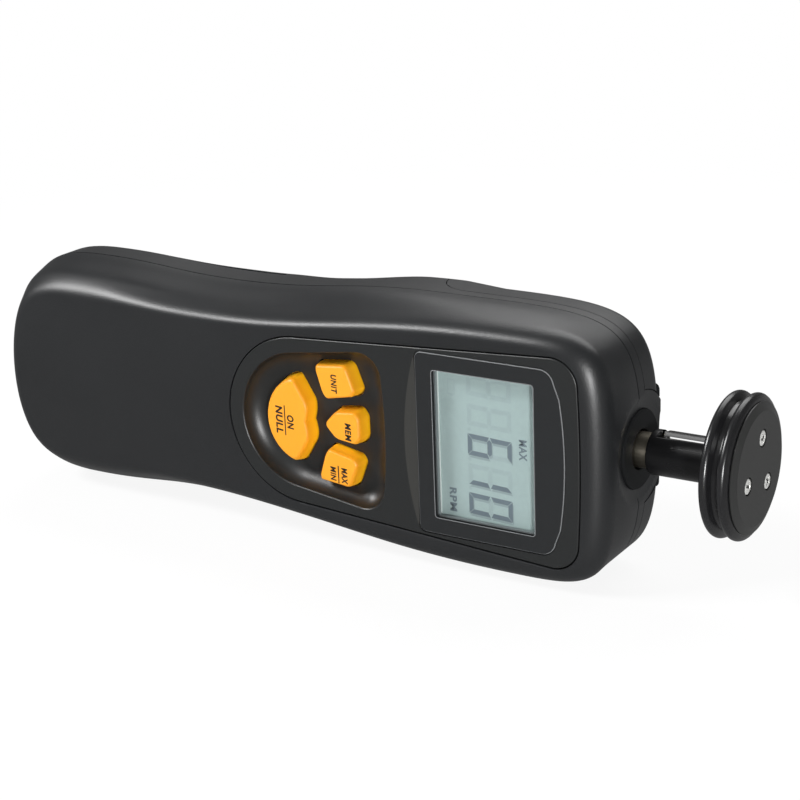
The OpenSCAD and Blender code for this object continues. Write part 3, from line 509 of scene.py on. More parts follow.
def across(profile, half_width):
    """A side-view profile of (x, y) points, extruded across the housing."""
    return ring_solid([[(x, y, z) for x, y in profile] for z in (-half_width, half_width)])


def turned(profile, closed=True):
    """A profile of (x, radius) points, turned about the spindle's axis."""
    count = sizes().turns
    points, faces, n = [], [], len(profile)
    for angle in full_turn(count):
        points += [(x, SHAFT_Y + r * math.sin(angle), r * math.cos(angle)) for x, r in profile]
    for k in range(count):
        for i in range(n if closed else n - 1):
            j, a, b = (i + 1) % n, k * n, (k + 1) % count * n
            if profile[i][1] > 0 or profile[j][1] > 0:
                faces.append((a + i, a + j, b + j, b + i))
    return form(points, faces)


def rod(x0, x1, radius):
    """A cylinder about the spindle's axis."""
    return turned([(x0, 0), (x0, radius), (x1, radius), (x1, 0)], closed=False)


def moved(mesh, matrix):
    """A mesh put somewhere else."""
    mesh.transform(matrix)
    return mesh


def on_spindle(angle=0.0):
    """Places a solid whose Z is the spindle's axis, turned by an angle in degrees."""
    axes = Matrix(((0, 0, 1, 0), (0, 1, 0, SHAFT_Y), (-1, 0, 0, 0), (0, 0, 0, 1)))
    return axes @ Matrix.Rotation(math.radians(angle), 4, "Z")


def placed(name, data):
    """An object in the scene."""
    thing = bpy.data.objects.new(name, data)
    bpy.context.scene.collection.objects.link(thing)
    return thing


def evaluated(holder):
    """The mesh of an object with its modifiers applied, or of its text."""
    graph = bpy.context.evaluated_depsgraph_get()
    return bpy.data.meshes.new_from_object(holder.evaluated_get(graph), depsgraph=graph)


def joined(how, base, *tools):
    """A solid with others added, cut away or kept in common."""
    holder = placed("base", base)
    helpers = [placed("tool", tool) for tool in tools]
    for helper in helpers:
        change = holder.modifiers.new("change", "BOOLEAN")
        change.operation = how
        change.solver = "MANIFOLD"
        change.object = helper
    made = evaluated(holder)
    if not made.polygons:
        raise RuntimeError("a solid came out empty")
    for thing in [holder] + helpers:
        mesh = thing.data
        bpy.data.objects.remove(thing)
        bpy.data.meshes.remove(mesh)
    return made


def added(base, *tools):
    return joined("UNION", base, *tools)


def cut(base, *tools):
    return joined("DIFFERENCE", base, *tools)


def shared(base, *tools):
    return joined("INTERSECT", base, *tools)


def piece(name, mesh, finishes, body, replaces=(), smooth=32.0):
    """Puts a solid into the scene as a finished piece that rides on a body; smooth is in degrees."""
    mesh.transform(Matrix.Translation(ORIGIN) @ Matrix.Scale(MM, 4))
    mesh.name = name
    kinds = [f.material_index for f in mesh.polygons] if len(finishes) > 1 else [0] * len(mesh.polygons)
    mesh.materials.clear()
    mesh.polygons.foreach_set("material_index", kinds)
    for made in finishes:
        mesh.materials.append(made)
    mesh.polygons.foreach_set("use_smooth", [True] * len(mesh.polygons))
    mesh.set_sharp_from_angle(angle=math.radians(smooth))
    thing = placed(name, mesh)
    weigh = thing.modifiers.new("weighted", "WEIGHTED_NORMAL")
    weigh.keep_sharp = True
    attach(thing, body)
    if replaces:
        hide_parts(*replaces)
    return thing


def dressed(node, mesh, body, slot, smooth=32.0):
    """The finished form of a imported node, in the finish that its slot is named after."""
    return piece(f"{node}_finished", mesh, [finish(slot)], body, [node], smooth)


# Finishes: each socket of a shader tree is wrapped, so that masks read as sums
class Field:
    """A value that varies over a surface; a sum on it adds its Math node."""

    def __init__(self, finish, socket):
        self.finish = finish
        self.socket = socket

    def math(self, operation, *values, clamp=False):
        return self.finish.node("ShaderNodeMath", {"operation": operation, "use_clamp": clamp},
                                dict(enumerate(values)))

    def __add__(self, other):
        return self.math("ADD", self, other)

    def __sub__(self, other):
        return self.math("SUBTRACT", self, other)

    def __rsub__(self, other):
        return self.math("SUBTRACT", other, self)

    def __mul__(self, other):
        return self.math("MULTIPLY", self, other)

    def __truediv__(self, other):
        return self.math("DIVIDE", self, other)

    __radd__ = __add__
    __rmul__ = __mul__

    def size(self):
        return self.math("ABSOLUTE", self)

    def below(self, limit):
        return self.math("LESS_THAN", self, limit)

    def above(self, limit):
        return self.math("GREATER_THAN", self, limit)

    def clamped(self):
        return self.math("ADD", self, 0.0, clamp=True)


class Finish:
    """One material with its shader tree."""

    def __init__(self, name):
        self.material = bpy.data.materials.new(name)
        self.material.use_nodes = True
        self.tree = self.material.node_tree
        self.tree.nodes.clear()

    def node(self, kind, settings, values, output=0):
        """Adds a node: its settings first, then the values or links of its sockets."""
        made = self.tree.nodes.new(kind)
        for key, value in settings.items():
            if key == "stops":
                ramp = made.color_ramp
                while len(ramp.elements) < len(value):
                    ramp.elements.new(1.0)
                for element, (place, colour) in zip(ramp.elements, value):
                    element.position = place
                    element.color = colour
            else:
                setattr(made, key, value)
        for key, value in values.items():
            if isinstance(value, Field):
                self.tree.links.new(value.socket, made.inputs[key])
            else:
                made.inputs[key].default_value = value
        return Field(self, made.outputs[output]) if len(made.outputs) else None

    def place(self):
        """Object coordinates, which are metres in the frame of the part."""
        return self.node("ShaderNodeTexCoord", {}, {}, "Object")

    def axis(self, name):
        return self.node("ShaderNodeSeparateXYZ", {}, {0: self.place()}, name)

    def noise(self, scale, detail=2.0, roughness=0.5):
        return self.node("ShaderNodeTexNoise", {},
                         {"Vector": self.place(), "Scale": scale, "Detail": detail, "Roughness": roughness})

    def between(self, share, low, high):
        """A number that follows a share from low to high."""
        return share * (high - low) + low

    def blend(self, share, first, second):
        """A colour between two others."""
        first, second = (c if isinstance(c, Field) else (*c, 1.0) for c in (first, second))
        return self.node("ShaderNodeMix", {"data_type": "RGBA"}, {0: share, 6: first, 7: second}, 2)

    def shades(self, share, colour, low, high):
        """A colour that goes from one strength of itself to another."""
        return self.blend(share, tone(colour, low), tone(colour, high))

    def bump(self, height, distance):
        return self.node("ShaderNodeBump", {}, {"Height": height, "Distance": distance * MM})

    def principled(self, **values):
        """The main shader, by the names of its sockets with underscores for spaces."""
        named = {key.replace("_", " "): value for key, value in values.items()}
        return self.node("ShaderNodeBsdfPrincipled", {}, named)

    def done(self, shader):
        self.node("ShaderNodeOutputMaterial", {}, {"Surface": shader})
        return self.material

    def surfaced(self, **values):
        """The finished material, with nothing but its main shader."""
        return self.done(self.principled(**values))


def tone(colour, share):
    """A colour made lighter or darker."""
    return tuple(min(1.0, channel * share) for channel in colour)


def moulded(name, colour, roughness, grain=None, depth=0.012, specular=0.5):
    """Moulded plastic with a fine spark-eroded grain and a faint unevenness of tone."""
    made = Finish(name)
    size = (grain or sizes().grain / MM) * MM
    fine = made.noise(1 / size, 3.0, 0.6)
    wide = made.noise(38.0)
    return made.surfaced(
        Base_Color=made.shades(fine * 0.5 + wide * 0.5, colour, 0.82, 1.2),
        Roughness=made.between(wide, roughness - 0.05, roughness + 0.05),
        Specular_IOR_Level=specular,
        Normal=made.bump(fine, depth))


def panel_finish():
    """The inset panel: plastic like the housing, with painted light that makes the facet and the walls under
    the lens paler.
    """
    made = Finish("panel_plastic")
    painted_facet_light, painted_wall_light = (0.026, 0.026, 0.024), (0.20, 0.21, 0.215)
    reach = 0.2
    facet_x, facet_half, facet_deep = LENS_X0 - 2.1, 2.3, 0.03
    fine = made.noise(1 / sizes().grain, 3.0, 0.6)
    along, deep = made.axis("X"), made.axis("Y")
    # Painted light: the walls of the window under the lens and the facet beside it take paler tones that
    # stand in for the light falling on them
    from_middle = (along - (ORIGIN.x + (LCD_X + LCD_W / 2) * MM)).size()
    up = (made.axis("Z") - ORIGIN.z).size()
    lit_walls = deep.above(ORIGIN.y + (LENS_T + reach) * MM) * from_middle.below((LCD_W / 2 + reach) * MM) \
        * up.below((LCD_H / 2 + reach) * MM)
    crescent = (along - (ORIGIN.x + facet_x * MM)).size().below(facet_half * MM)
    facet = crescent * deep.above(ORIGIN.y + facet_deep * MM)
    plain = made.shades(fine, colours().panel, 0.85, 1.18)
    return made.surfaced(
        Base_Color=made.blend(lit_walls, made.blend(facet, plain, painted_facet_light), painted_wall_light),
        Roughness=made.between(fine, 0.33, 0.42),
        Normal=made.bump(fine, 0.02))


def rubber(name, colour, roughness, coat=0.0):
    """Soft rubber or the jacket of a wire."""
    made = Finish(name)
    fine = made.noise(1 / (0.8 * MM), 4.0, 0.6)
    return made.surfaced(
        Base_Color=made.shades(fine, colour, 0.92, 1.08),
        Roughness=made.between(fine, roughness - 0.06, roughness + 0.06),
        Coat_Weight=coat, Coat_Roughness=0.12,
        Normal=made.bump(fine, 0.006))


def key_finish():
    """Silicone rubber with a painted glow down its sides: a lighter, deeper orange that stands in for light
    soaking into it.
    """
    made = Finish("key_rubber")
    red, green, blue = colours().keys
    side = (min(1.0, red * 1.33), green * 1.65, blue)
    edge, fade = 0.5, 3.4
    top = ORIGIN.y + sizes().key_sink
    # Painted glow: below the top's edge the colour fades into the lighter orange of the sides
    painted_glow_share = ((made.axis("Y") - (top + edge * MM)) / (fade * MM)).clamped()
    fine = made.noise(1400.0, 3.0, 0.6)
    return made.surfaced(
        Base_Color=made.blend(painted_glow_share, made.shades(fine, (red, green, blue), 0.96, 1.03), side),
        Roughness=made.between(fine, 0.42, 0.52),
        Subsurface_Weight=0.12, Subsurface_Radius=(0.9, 0.4, 0.1), Subsurface_Scale=1.2 * MM,
        Normal=made.bump(fine, 0.004))


def metal(name, colour, roughness, line=0.35, turned_about_axis=True):
    """Metal with fine machined lines round the spindle's axis, or with an even cast grain."""
    made = Finish(name)
    if turned_about_axis:
        scratch = made.node("ShaderNodeTexNoise", {"noise_dimensions": "1D"}, {
            "W": made.axis("X"), "Scale": 1 / (line * MM), "Detail": 3.0, "Roughness": 0.7})
    else:
        scratch = made.noise(1 / (line * MM), 3.0, 0.6)
    cloud = made.noise(220.0)
    return made.surfaced(
        Base_Color=made.shades(cloud, colour, 0.86, 1.08),
        Metallic=1.0,
        Roughness=made.between(cloud * 0.5 + scratch * 0.5, roughness - 0.08, roughness + 0.12),
        Normal=made.bump(scratch, 0.004))


def lens_clear():
    """Clear acrylic that shows what lies behind it and mirrors the room by Fresnel."""
    made = Finish("lens_clear")
    haze = made.noise(900.0)
    gloss = made.node("ShaderNodeBsdfPrincipled", {}, {
        "Base Color": (0.8, 0.85, 0.87, 1.0), "Metallic": 1.0, "Roughness": made.between(haze, 0.05, 0.09)})
    clear = made.node("ShaderNodeBsdfTransparent", {}, {"Color": (0.93, 0.95, 0.95, 1.0)})
    outside = 1 - made.node("ShaderNodeNewGeometry", {}, {}, "Backfacing")
    share = made.node("ShaderNodeFresnel", {}, {"IOR": 1.46}) * outside
    return made.done(made.node("ShaderNodeMixShader", {}, {0: share, 1: clear, 2: gloss}))


def bright_steel():
    """Plated steel, with painted shade in the cross recesses of the cap's screws."""
    made = Finish("bright_steel")
    plated, worn, dark = (0.95, 0.95, 0.92), (0.7, 0.7, 0.68), (0.05, 0.05, 0.048)
    fine = made.noise(900.0)
    along = made.axis("X")
    # Painted shade: dark colour across the depth of the cross recesses
    recess = along.below(ORIGIN.x + (CAP_X - 0.3) * MM) * along.above(ORIGIN.x + (CAP_X - 1.4) * MM)
    return made.surfaced(
        Base_Color=made.blend(recess, made.blend(fine, worn, plated), dark),
        Metallic=0.6, Roughness=made.between(fine, 0.28, 0.4))


def printed(name, colour, roughness):
    """Ink, print and other thin flat colours, with the least unevenness."""
    made = Finish(name)
    fine = made.noise(700.0)
    return made.surfaced(
        Base_Color=made.shades(fine, colour, 0.94, 1.06),
        Roughness=made.between(fine, roughness - 0.04, roughness + 0.04))


def faint_segment(name, share):
    """A mark on the display, part of the way from its face to its dark segments: the faint ghost segments,
    and the painted shadows of the shown ones.
    """
    return printed(name, [mix(a, b, share) for a, b in zip(colours().display, colours().segments)], 0.42)


def board_finish():
    """Green solder mask with tracks under it."""
    made = Finish("board_mask")
    track = made.node("ShaderNodeTexBrick", {"offset": 0.35}, {
        "Vector": made.place(), "Scale": 190.0, "Mortar Size": 0.012,
        "Color1": (0.012, 0.10, 0.035, 1), "Color2": (0.016, 0.13, 0.045, 1),
        "Mortar": (0.03, 0.2, 0.07, 1)}, "Color")
    fine = made.noise(1200.0)
    return made.surfaced(
        Base_Color=track, Roughness=made.between(fine, 0.3, 0.42), Normal=made.bump(fine, 0.005))


def tyre_finish():
    """Glossy black rubber with faint marks of use on the crowns of its ribs."""
    made = Finish("tyre_rubber")
    colour = colours().tyre
    crown_r, crown_fade = 18.8, 0.8
    fine = made.noise(900.0, 4.0, 0.65)
    wide = made.noise(120.0)
    from_axis = made.node("ShaderNodeCombineXYZ", {}, {
        "Y": made.axis("Y") - SPINDLE["pos_m"][1], "Z": made.axis("Z") - SPINDLE["pos_m"][2]})
    out = made.node("ShaderNodeVectorMath", {"operation": "LENGTH"}, {0: from_axis}, "Value")
    crown = ((out - crown_r * MM) / (crown_fade * MM)).clamped()
    return made.surfaced(
        Base_Color=made.blend(fine * 0.6 + crown * 0.2, colour, tone(colour, 2.2)),
        Roughness=made.between(wide * 0.5 + crown * 0.5, 0.17, 0.34),
        Normal=made.bump(fine, 0.006))


# Makers of the finishes, by the names of the material slots and of the parts of the lens and the display
MAKERS = {
    "housing": lambda: moulded("housing_plastic", colours().housing, 0.39, depth=0.04, specular=0.45),
    "panel": panel_finish,
    "lens": lens_clear,
    "lens_print": lambda: printed("lens_print", (0.011, 0.012, 0.013), 0.3),
    # A grey for the lens's chamfer, which also paints the highlight rim round its window
    "lens_edge_and_highlight": lambda: printed("lens_edge_and_highlight", (0.16, 0.165, 0.17), 0.2),
    "display": lambda: printed("display_face", colours().display, 0.42),
    "segment": lambda: printed("segment_dark", colours().segments, 0.42),
    "ghost": lambda: faint_segment("segment_ghost", 0.14),
    "segment_shadow": lambda: faint_segment("segment_shadow", 0.42),
    "white_plastic": lambda: moulded("white_plastic", (0.70, 0.70, 0.67), 0.42),
    "strip_rubber": lambda: rubber("strip_rubber", (0.30, 0.28, 0.27), 0.6),
    "key_rubber": key_finish,
    "legend": lambda: printed("legend_ink", (0.006, 0.004, 0.003), 0.7),
    "bright_steel": bright_steel,
    "board": board_finish,
    "black_plastic": lambda: moulded("black_plastic", (0.014, 0.014, 0.016), 0.4),
    "cast_alloy": lambda: metal("cast_alloy", (0.46, 0.47, 0.48), 0.5, 0.5, False),
    "bearing_steel": lambda: metal("bearing_steel", (0.66, 0.66, 0.67), 0.16),
    "cage_brass": lambda: metal("cage_brass", (0.72, 0.50, 0.20), 0.3),
    "spindle_steel": lambda: metal("spindle_steel", (0.46, 0.42, 0.34), 0.3),
    "collar": lambda: moulded("collar_plastic", (0.0065, 0.007, 0.0075), 0.6, depth=0.01, specular=0.12),
    "battery_case": lambda: printed("battery_case", (0.05, 0.05, 0.055), 0.25),
    "lead_red": lambda: rubber("lead_red", (0.42, 0.02, 0.02), 0.4, coat=0.3),
    "adapter_black": lambda: moulded(
        "adapter_plastic", (0.0035, 0.0035, 0.004), 0.28, depth=0.006, specular=0.35),
    "tyre_rubber": tyre_finish,
    "cap_satin": lambda: moulded("cap_satin", (0.018, 0.0185, 0.018), 0.4, grain=0.25, depth=0.006),
}
FINISHES = {}


def finish(name):
    """A finish by its name, made the first time it is asked for."""
    if name not in FINISHES:
        FINISHES[name] = MAKERS[name]()
    return FINISHES[name]


# Sizes that several pieces of the housing share
POST_R = 3.2
SHANK_R = 1.25
PILOT_R = SHANK_R + 0.02
SHANK_HOLE_R = SHANK_R + 0.1
HEAD_R = 2.4
HEAD_HOLE_R = HEAD_R + 0.4
# Places of the posts along the housing, and their distance from its middle
HANDLE_POST = (18,), 15
MID_POST = (DOOR_L + 9,), 24
HEAD_POST = (END_X - 22,), HEAD_HW - 5.4
BOARD_POST = (LCD_X - 4, LCD_X + 20), HEAD_HW - 5.8
COLLAR_X0, COLLAR_X1 = extent("nose_collar")[0].x, extent("nose_collar")[1].x
WING_POST = (END_X - 29, COLLAR_X0 - 6.2), 12.5
BOARD_Y = extent("main_board")[0].y
COLLAR_R = 11
ARCH_X0, ARCH_R = END_X - 6, COLLAR_R + 5
LEDGE_W = 2
DECK_Y = HEAD_DEPTH - 5
DECK_T = 1.8
COVER_Y = SEAM_Y + 3.6
COVER_X = END_X - 65.5
BEYOND_BACK = HEAD_DEPTH + 6
# The lip inside the parting line, and how far the groove beside it goes into each shell
LIP_IN, FRONT_GROOVE, REAR_GROOVE = 0.6, 0.28, 0.15


def nose_cuts():
    """The collar's seat and the dish round it, as tools that cut the end walls."""
    bottom, beyond = END_X - 1.4, END_X + 2
    dish = turned([
        (bottom, 0), (bottom, COLLAR_R + 0.4), (bottom + 0.4, COLLAR_R + 2.6),
        (bottom + 1.8, COLLAR_R + 6.6), (beyond, COLLAR_R + 11), (beyond, 0)], closed=False)
    return [rod(COLLAR_X0 - OVER, END_X + 2 * OVER, COLLAR_R + 0.1), dish]


def sweep(t, y0, y1, a, b, slopes_a, slopes_b):
    """A ring between two outlines, which leaves each at its slopes per millimetre of depth."""
    h = (2 * t ** 3 - 3 * t * t + 1, t ** 3 - 2 * t * t + t, 3 * t * t - 2 * t ** 3, t ** 3 - t * t)
    span, depth = y1 - y0, mix(y0, y1, t)
    ring = []
    for places in zip(a, slopes_a, b, slopes_b):
        x, z = (h[0] * p + h[1] * span * sp + h[2] * q + h[3] * span * sq for p, sp, q, sq in zip(*places))
        ring.append((x, depth, z))
    return ring


def slopes(a, b, span):
    """Change from one outline to another, per millimetre of depth."""
    return [tuple((q - p) / span for p, q in zip(pa, pb)) for pa, pb in zip(a, b)]


def rounded_edge(shoulder, lean, face, edge, t):
    """A ring on the rounded front edge, from the shoulder with its lean to the flat face."""
    hold = 0.5523
    ring = []
    for (sx, sz), (lean_x, lean_z), (fx, fz) in zip(shoulder, lean, face):
        x, z, y = cubic(
            (sx, sz, edge), (sx - lean_x * hold * edge, sz - lean_z * hold * edge, edge * (1 - hold)),
            (mix(fx, sx, hold), mix(fz, sz, hold), 0), (fx, fz, 0), t)
        ring.append((x, y, z))
    return ring


# How steeply the side leaves the parting line and meets the rounded edge, in shares of its mean slope
SEAM_SLOPE, SHOULDER_SLOPE = 0.4, 1.25


def side_rings():
    """The side of the front shell from the parting line to the face, as one smooth sweep."""
    seam, rest, shoulder, face = seam_outline(0), rest_outline(0), shoulder_outline(0), face_outline(0)
    edge = sizes().edge_depth / MM
    upper, lower = SEAM_Y - REST_Y, REST_Y - edge
    first, second = slopes(seam, rest, -upper), slopes(rest, shoulder, -lower)
    at_seam = [tuple(SEAM_SLOPE * v for v in slope) for slope in first]
    at_rest = [tuple((v * lower + w * upper) / (upper + lower) for v, w in zip(*pair))
               for pair in zip(first, second)]
    at_shoulder = [tuple(SHOULDER_SLOPE * v for v in slope) for slope in second]
    rings = stack(seam_outline, (LIP_IN, SEAM_Y), (LIP_IN, SEAM_Y - FRONT_GROOVE))
    rings += [sweep(t, SEAM_Y, REST_Y, seam, rest, at_seam, at_rest)
              for t in [sizes().seam_chamfer / MM / upper] + steps(5, False)[1:]]
    rings += [sweep(t, REST_Y, edge, rest, shoulder, at_rest, at_shoulder) for t in steps(8, False)]
    rings += [rounded_edge(shoulder, at_shoulder, face, edge, t) for t in steps(14)]
    inset, towards_middle = 0.6, (1, 0.9, 0.78, 0.64, 0.48, 0.32, 0.16, 0.05)
    rings += [[(x, 0, z * share) for x, z in face_outline(inset)] for share in towards_middle]
    return rings


class TACHO_OT_front_shell(bpy.types.Operator):
    """Moulded front half of the housing, with the groove round its panel"""

    bl_idname = "tacho.front_shell"
    bl_label = "Front shell"

    def execute(self, context):
        wall, edge = sizes().wall / MM, sizes().edge_depth / MM
        board_r, soft, ledge_out = 2.2, 0.25, 1.2
        inner = (stack(face_outline, (wall, wall)) + stack(shoulder_outline, (wall, edge))
                 + stack(rest_outline, (wall, REST_Y)) + stack(seam_outline, (wall, SEAM_Y)))
        shell = ring_solid([[crowned(point) for point in ring] for ring in inner + side_rings()], strips=True)
        posts = pegs(*HANDLE_POST, POST_R, wall / 2 + CROWN, SEAM_Y)
        posts += pegs(*MID_POST, POST_R, wall + 1, SEAM_Y)
        posts += pegs(*HEAD_POST, POST_R, edge, SEAM_Y)
        posts += pegs(*BOARD_POST, board_r, wall, BOARD_Y)
        ledge = cut(slab(panel_outline(ledge_out), PANEL_T, PANEL_T + wall),
                    slab(panel_outline(-LEDGE_W), PANEL_T - OVER, PANEL_T + wall + OVER))
        shell = added(shell, ledge, *posts)
        recess = ring_solid(stack(panel_outline, (soft, -OVER), (soft, -0.01), (soft * 0.3, soft * 0.3),
                                  (0, soft), (0, PANEL_T)))
        bores = [hole for post in (HANDLE_POST, MID_POST, HEAD_POST)
                 for hole in pegs(*post, PILOT_R, edge + wall, SEAM_Y + OVER)]
        bores += pegs(*BOARD_POST, PILOT_R, 2 * wall, BOARD_Y + OVER)
        opening = slab(panel_outline(-LEDGE_W), -OVER, PANEL_T + 2 * wall)
        dressed("front_shell", cut(shell, recess, opening, *bores, *nose_cuts()), "housing", "housing")
        return {"FINISHED"}


def back_skin(inner):
    """The skin of the back, from its inner face round the parting line to the outside."""
    rings = back_arc(inner, inner, 4)[::-1]
    rings += stack(seam_outline, (inner, SEAM_Y), (LIP_IN, SEAM_Y), (LIP_IN, SEAM_Y + REAR_GROOVE),
                   (0.05, SEAM_Y + REAR_GROOVE + 0.02), (0, SEAM_Y + sizes().seam_chamfer / MM))
    return ring_solid(rings + back_arc(0, 0, 12), strips=True)


def cover_zone(o):
    """The space that the head cover takes, grown by o beyond its line."""
    bend = 11
    top = HEAD_DEPTH + 5
    line = [(COVER_X - o, top)]
    line += arc((COVER_X + bend, COVER_Y + bend), bend + o, 180, 270, 24)
    line += [(END_X + OVER, COVER_Y - o), (END_X + OVER, top)]
    return across(line, HEAD_HW + OVER)


class TACHO_OT_rear_shell(bpy.types.Operator):
    """Moulded rear half of the housing, with the battery bay and its posts"""

    bl_idname = "tacho.rear_shell"
    bl_label = "Rear shell"

    def execute(self, context):
        wall, bay_wall = sizes().wall / MM, 1.5
        shell = cut(back_skin(wall), beam(-OVER, DOOR_L, DECK_Y, BEYOND_BACK, HEAD_HW + 1), cover_zone(0))
        inside = ring_solid(stack(seam_outline, (wall / 2, SEAM_Y)) + back_arc(wall / 2, 0, 6), strips=True)
        deck = shared(added(beam(-OVER, DOOR_L + wall, DECK_Y - DECK_T, DECK_Y, HEAD_HW),
                            beam(DOOR_L, DOOR_L + wall, DECK_Y - DECK_T, BEYOND_BACK - 1, HEAD_HW)), inside)
        low, high = extent("battery")
        bay_x0, bay_x1 = low.x - 0.2, high.x + 5.8
        bay_y, bay_half = low.y - 0.3, high.z + 0.4
        bay = beam(bay_x0 - bay_wall, bay_x1 + bay_wall, bay_y - bay_wall, DECK_Y, bay_half + bay_wall)
        posts = pegs(*HANDLE_POST, POST_R, SEAM_Y, DECK_Y)
        posts += pegs(*MID_POST, POST_R, SEAM_Y, HEAD_DEPTH - SCOOP_DEPTH - 1)
        posts += pegs(*HEAD_POST, POST_R, SEAM_Y, COVER_Y)
        arch = cut(rod(ARCH_X0, END_X - END_LEAN, ARCH_R), beam(ARCH_X0 - 1, END_X + 1, 0, SEAM_Y, HEAD_HW),
                   beam(ARCH_X0 - 1, END_X + 1, HEAD_DEPTH - 0.4, HEAD_DEPTH + 30, HEAD_HW))
        shell = added(shell, deck, bay, arch, *posts)
        cuts = [beam(bay_x0, bay_x1, bay_y, DECK_Y + OVER, bay_half),
                beam(bay_x1 - OVER, bay_x1 + bay_wall + OVER, bay_y + 3, bay_y + 8, 4)]
        for post, seat, top in (
                (HANDLE_POST, DECK_Y - 1.8, DECK_Y + OVER), (MID_POST, DECK_Y - 3, BEYOND_BACK)):
            cuts += pegs(*post, SHANK_HOLE_R, SEAM_Y - OVER, DECK_Y + OVER)
            cuts += pegs(*post, HEAD_HOLE_R, seat, top)
        cuts += pegs(*HEAD_POST, SHANK_HOLE_R, SEAM_Y - OVER, COVER_Y + OVER)
        flange = rod(ARCH_X0 - OVER, END_X - 3, COLLAR_R + 2.1)
        dressed("rear_shell", cut(shell, *cuts, flange, *nose_cuts()), "housing", "housing")
        return {"FINISHED"}


class TACHO_OT_head_cover(bpy.types.Operator):
    """Cover of the head's back, with its own seam round the corner of the head"""

    bl_idname = "tacho.head_cover"
    bl_label = "Head cover"

    def execute(self, context):
        wall, gap = sizes().wall / MM, 0.25
        skin = shared(back_skin(wall), cover_zone(-gap))
        low, high, rise, corner = END_X - 44, END_X - END_LEAN, 1.5, 2
        spine = ring_solid([
            flat_ring(box_outline(low + at_low, high - at_high, half, corner), HEAD_DEPTH + y)
            for at_low, at_high, half, y in (
                (0, 0, 15, -wall / 2), (3, 2.8, 15, 0.6),
                (4.4, 3.9, 14.7, rise - 0.2), (5, 4.4, 14.3, rise))])
        wing_y, under = SHAFT_Y + 4.5, HEAD_DEPTH - wall / 2
        posts = pegs(*WING_POST, POST_R - 0.4, wing_y, under)
        posts += pegs(*HEAD_POST, POST_R, COVER_Y + gap, under)
        cuts = [rod(ARCH_X0 - gap, ARCH_X0 + 4 * wall + OVER, ARCH_R + gap)]
        cuts += pegs(*WING_POST, PILOT_R, wing_y - OVER, HEAD_DEPTH - 2 * wall)
        cuts += pegs(*HEAD_POST, SHANK_HOLE_R, COVER_Y - OVER, HEAD_DEPTH + OVER)
        cuts += pegs(*HEAD_POST, HEAD_HOLE_R, COVER_Y + 5, HEAD_DEPTH + 3)
        dressed("head_cover", cut(added(skin, spine, *posts), *cuts), "housing", "housing")
        return {"FINISHED"}


class TACHO_OT_battery_door(bpy.types.Operator):
    """Sliding door that makes the back of the handle"""

    bl_idname = "tacho.battery_door"
    bl_label = "Battery door"

    def execute(self, context):
        skin, above_deck, short = 2, 0.85, 0.7
        rings = back_arc(skin, skin, 4)[::-1]
        rings += [back_ring(skin, 0, BACK_ROUND), back_ring(0, 0, BACK_ROUND)] + back_arc(0, 0, 12)
        zone = beam(-OVER, DOOR_L - short, DECK_Y + above_deck, BEYOND_BACK, HEAD_HW + 1)
        dressed("battery_door", shared(ring_solid(rings, strips=True), zone), "door", "housing")
        return {"FINISHED"}


BOWL_DRAW, HOLLOW_DRAW = 4.2, 6.2


def dish_ring(angle, thickness, depth, draw=BOWL_DRAW):
    """A ring of the dished key well: 90 degrees is its floor, 0 the edge at the face."""
    turn = math.radians(angle)
    return flat_ring(well_outline(thickness - draw * (1 - math.cos(turn))), depth * math.sin(turn))


class TACHO_OT_front_panel(bpy.types.Operator):
    """Inset panel with the dished key well, the lens recess and the facet beside it"""

    bl_idname = "tacho.front_panel"
    bl_label = "Front panel"

    def execute(self, context):
        depth, under = sizes().well_depth / MM, sizes().well_depth / MM + FLOOR_T
        gap, soft = 0.35, 0.35
        edge = [(-gap - soft * drawn, soft * rise) for drawn, rise in rounding(5)[::-1]]
        plate = ring_solid(stack(panel_outline, (-gap - soft - 0.5, 0), *edge, (-gap, PANEL_T)))
        rim_angle = math.degrees(math.asin(PANEL_T / 2 / under))
        bowl = ring_solid([dish_ring(90 * t, FLOOR_T, under) for t in reversed(steps(16)[2:])]
                          + [dish_ring(rim_angle, FLOOR_T, under)])
        backing = shared(slab(lens_outline(0.6), PANEL_T - 0.2, LENS_T + 1.4),
                         slab(panel_outline(-LEDGE_W - 0.1), PANEL_T - OVER, PANEL_T + 2 * OVER))
        lip = 0.7
        start = math.degrees(math.asin(lip / depth))
        reach = -HOLLOW_DRAW * (1 - math.cos(math.radians(start)))
        hollow = [dish_ring(mix(start, 90, t), 0, depth, HOLLOW_DRAW) for t in reversed(steps(22))]
        hollow += stack(well_outline, *[(reach + lip * drawn, lip * rise) for drawn, rise in rounding(7)[1:]],
                        (reach + lip + 0.02, -OVER))
        # The facet is part of a wide cone, whose edge curves round the lens
        facet_w, facet_depth, facet_r = 4.1, 0.9, 85
        facet_x = LENS_X0 - facet_w + facet_r
        cone = ring_solid([
            flat_ring(arc((facet_x, 0), facet_r + out, 90, 270, 200), y)
            for out, y in ((-facet_w, facet_depth), (OVER * facet_w / facet_depth, -OVER))])
        facet = shared(cone, beam(LENS_X0 - facet_w - 1, LENS_X0, -2, facet_depth + 1, LENS_HH - 2))
        window = slab(window_outline(), -OVER, PANEL_T + 3)
        holes = [slab(grown(outline, 0.5), depth - 1, under + 1) for outline in KEY_OUTLINES.values()]
        lens_seat = slab(lens_outline(0.25), -OVER, LENS_T + 0.1)
        panel = cut(added(plate, bowl, backing), ring_solid(hollow), lens_seat, facet, window, *holes)
        dressed("front_panel", panel, "housing", "panel")
        return {"FINISHED"}


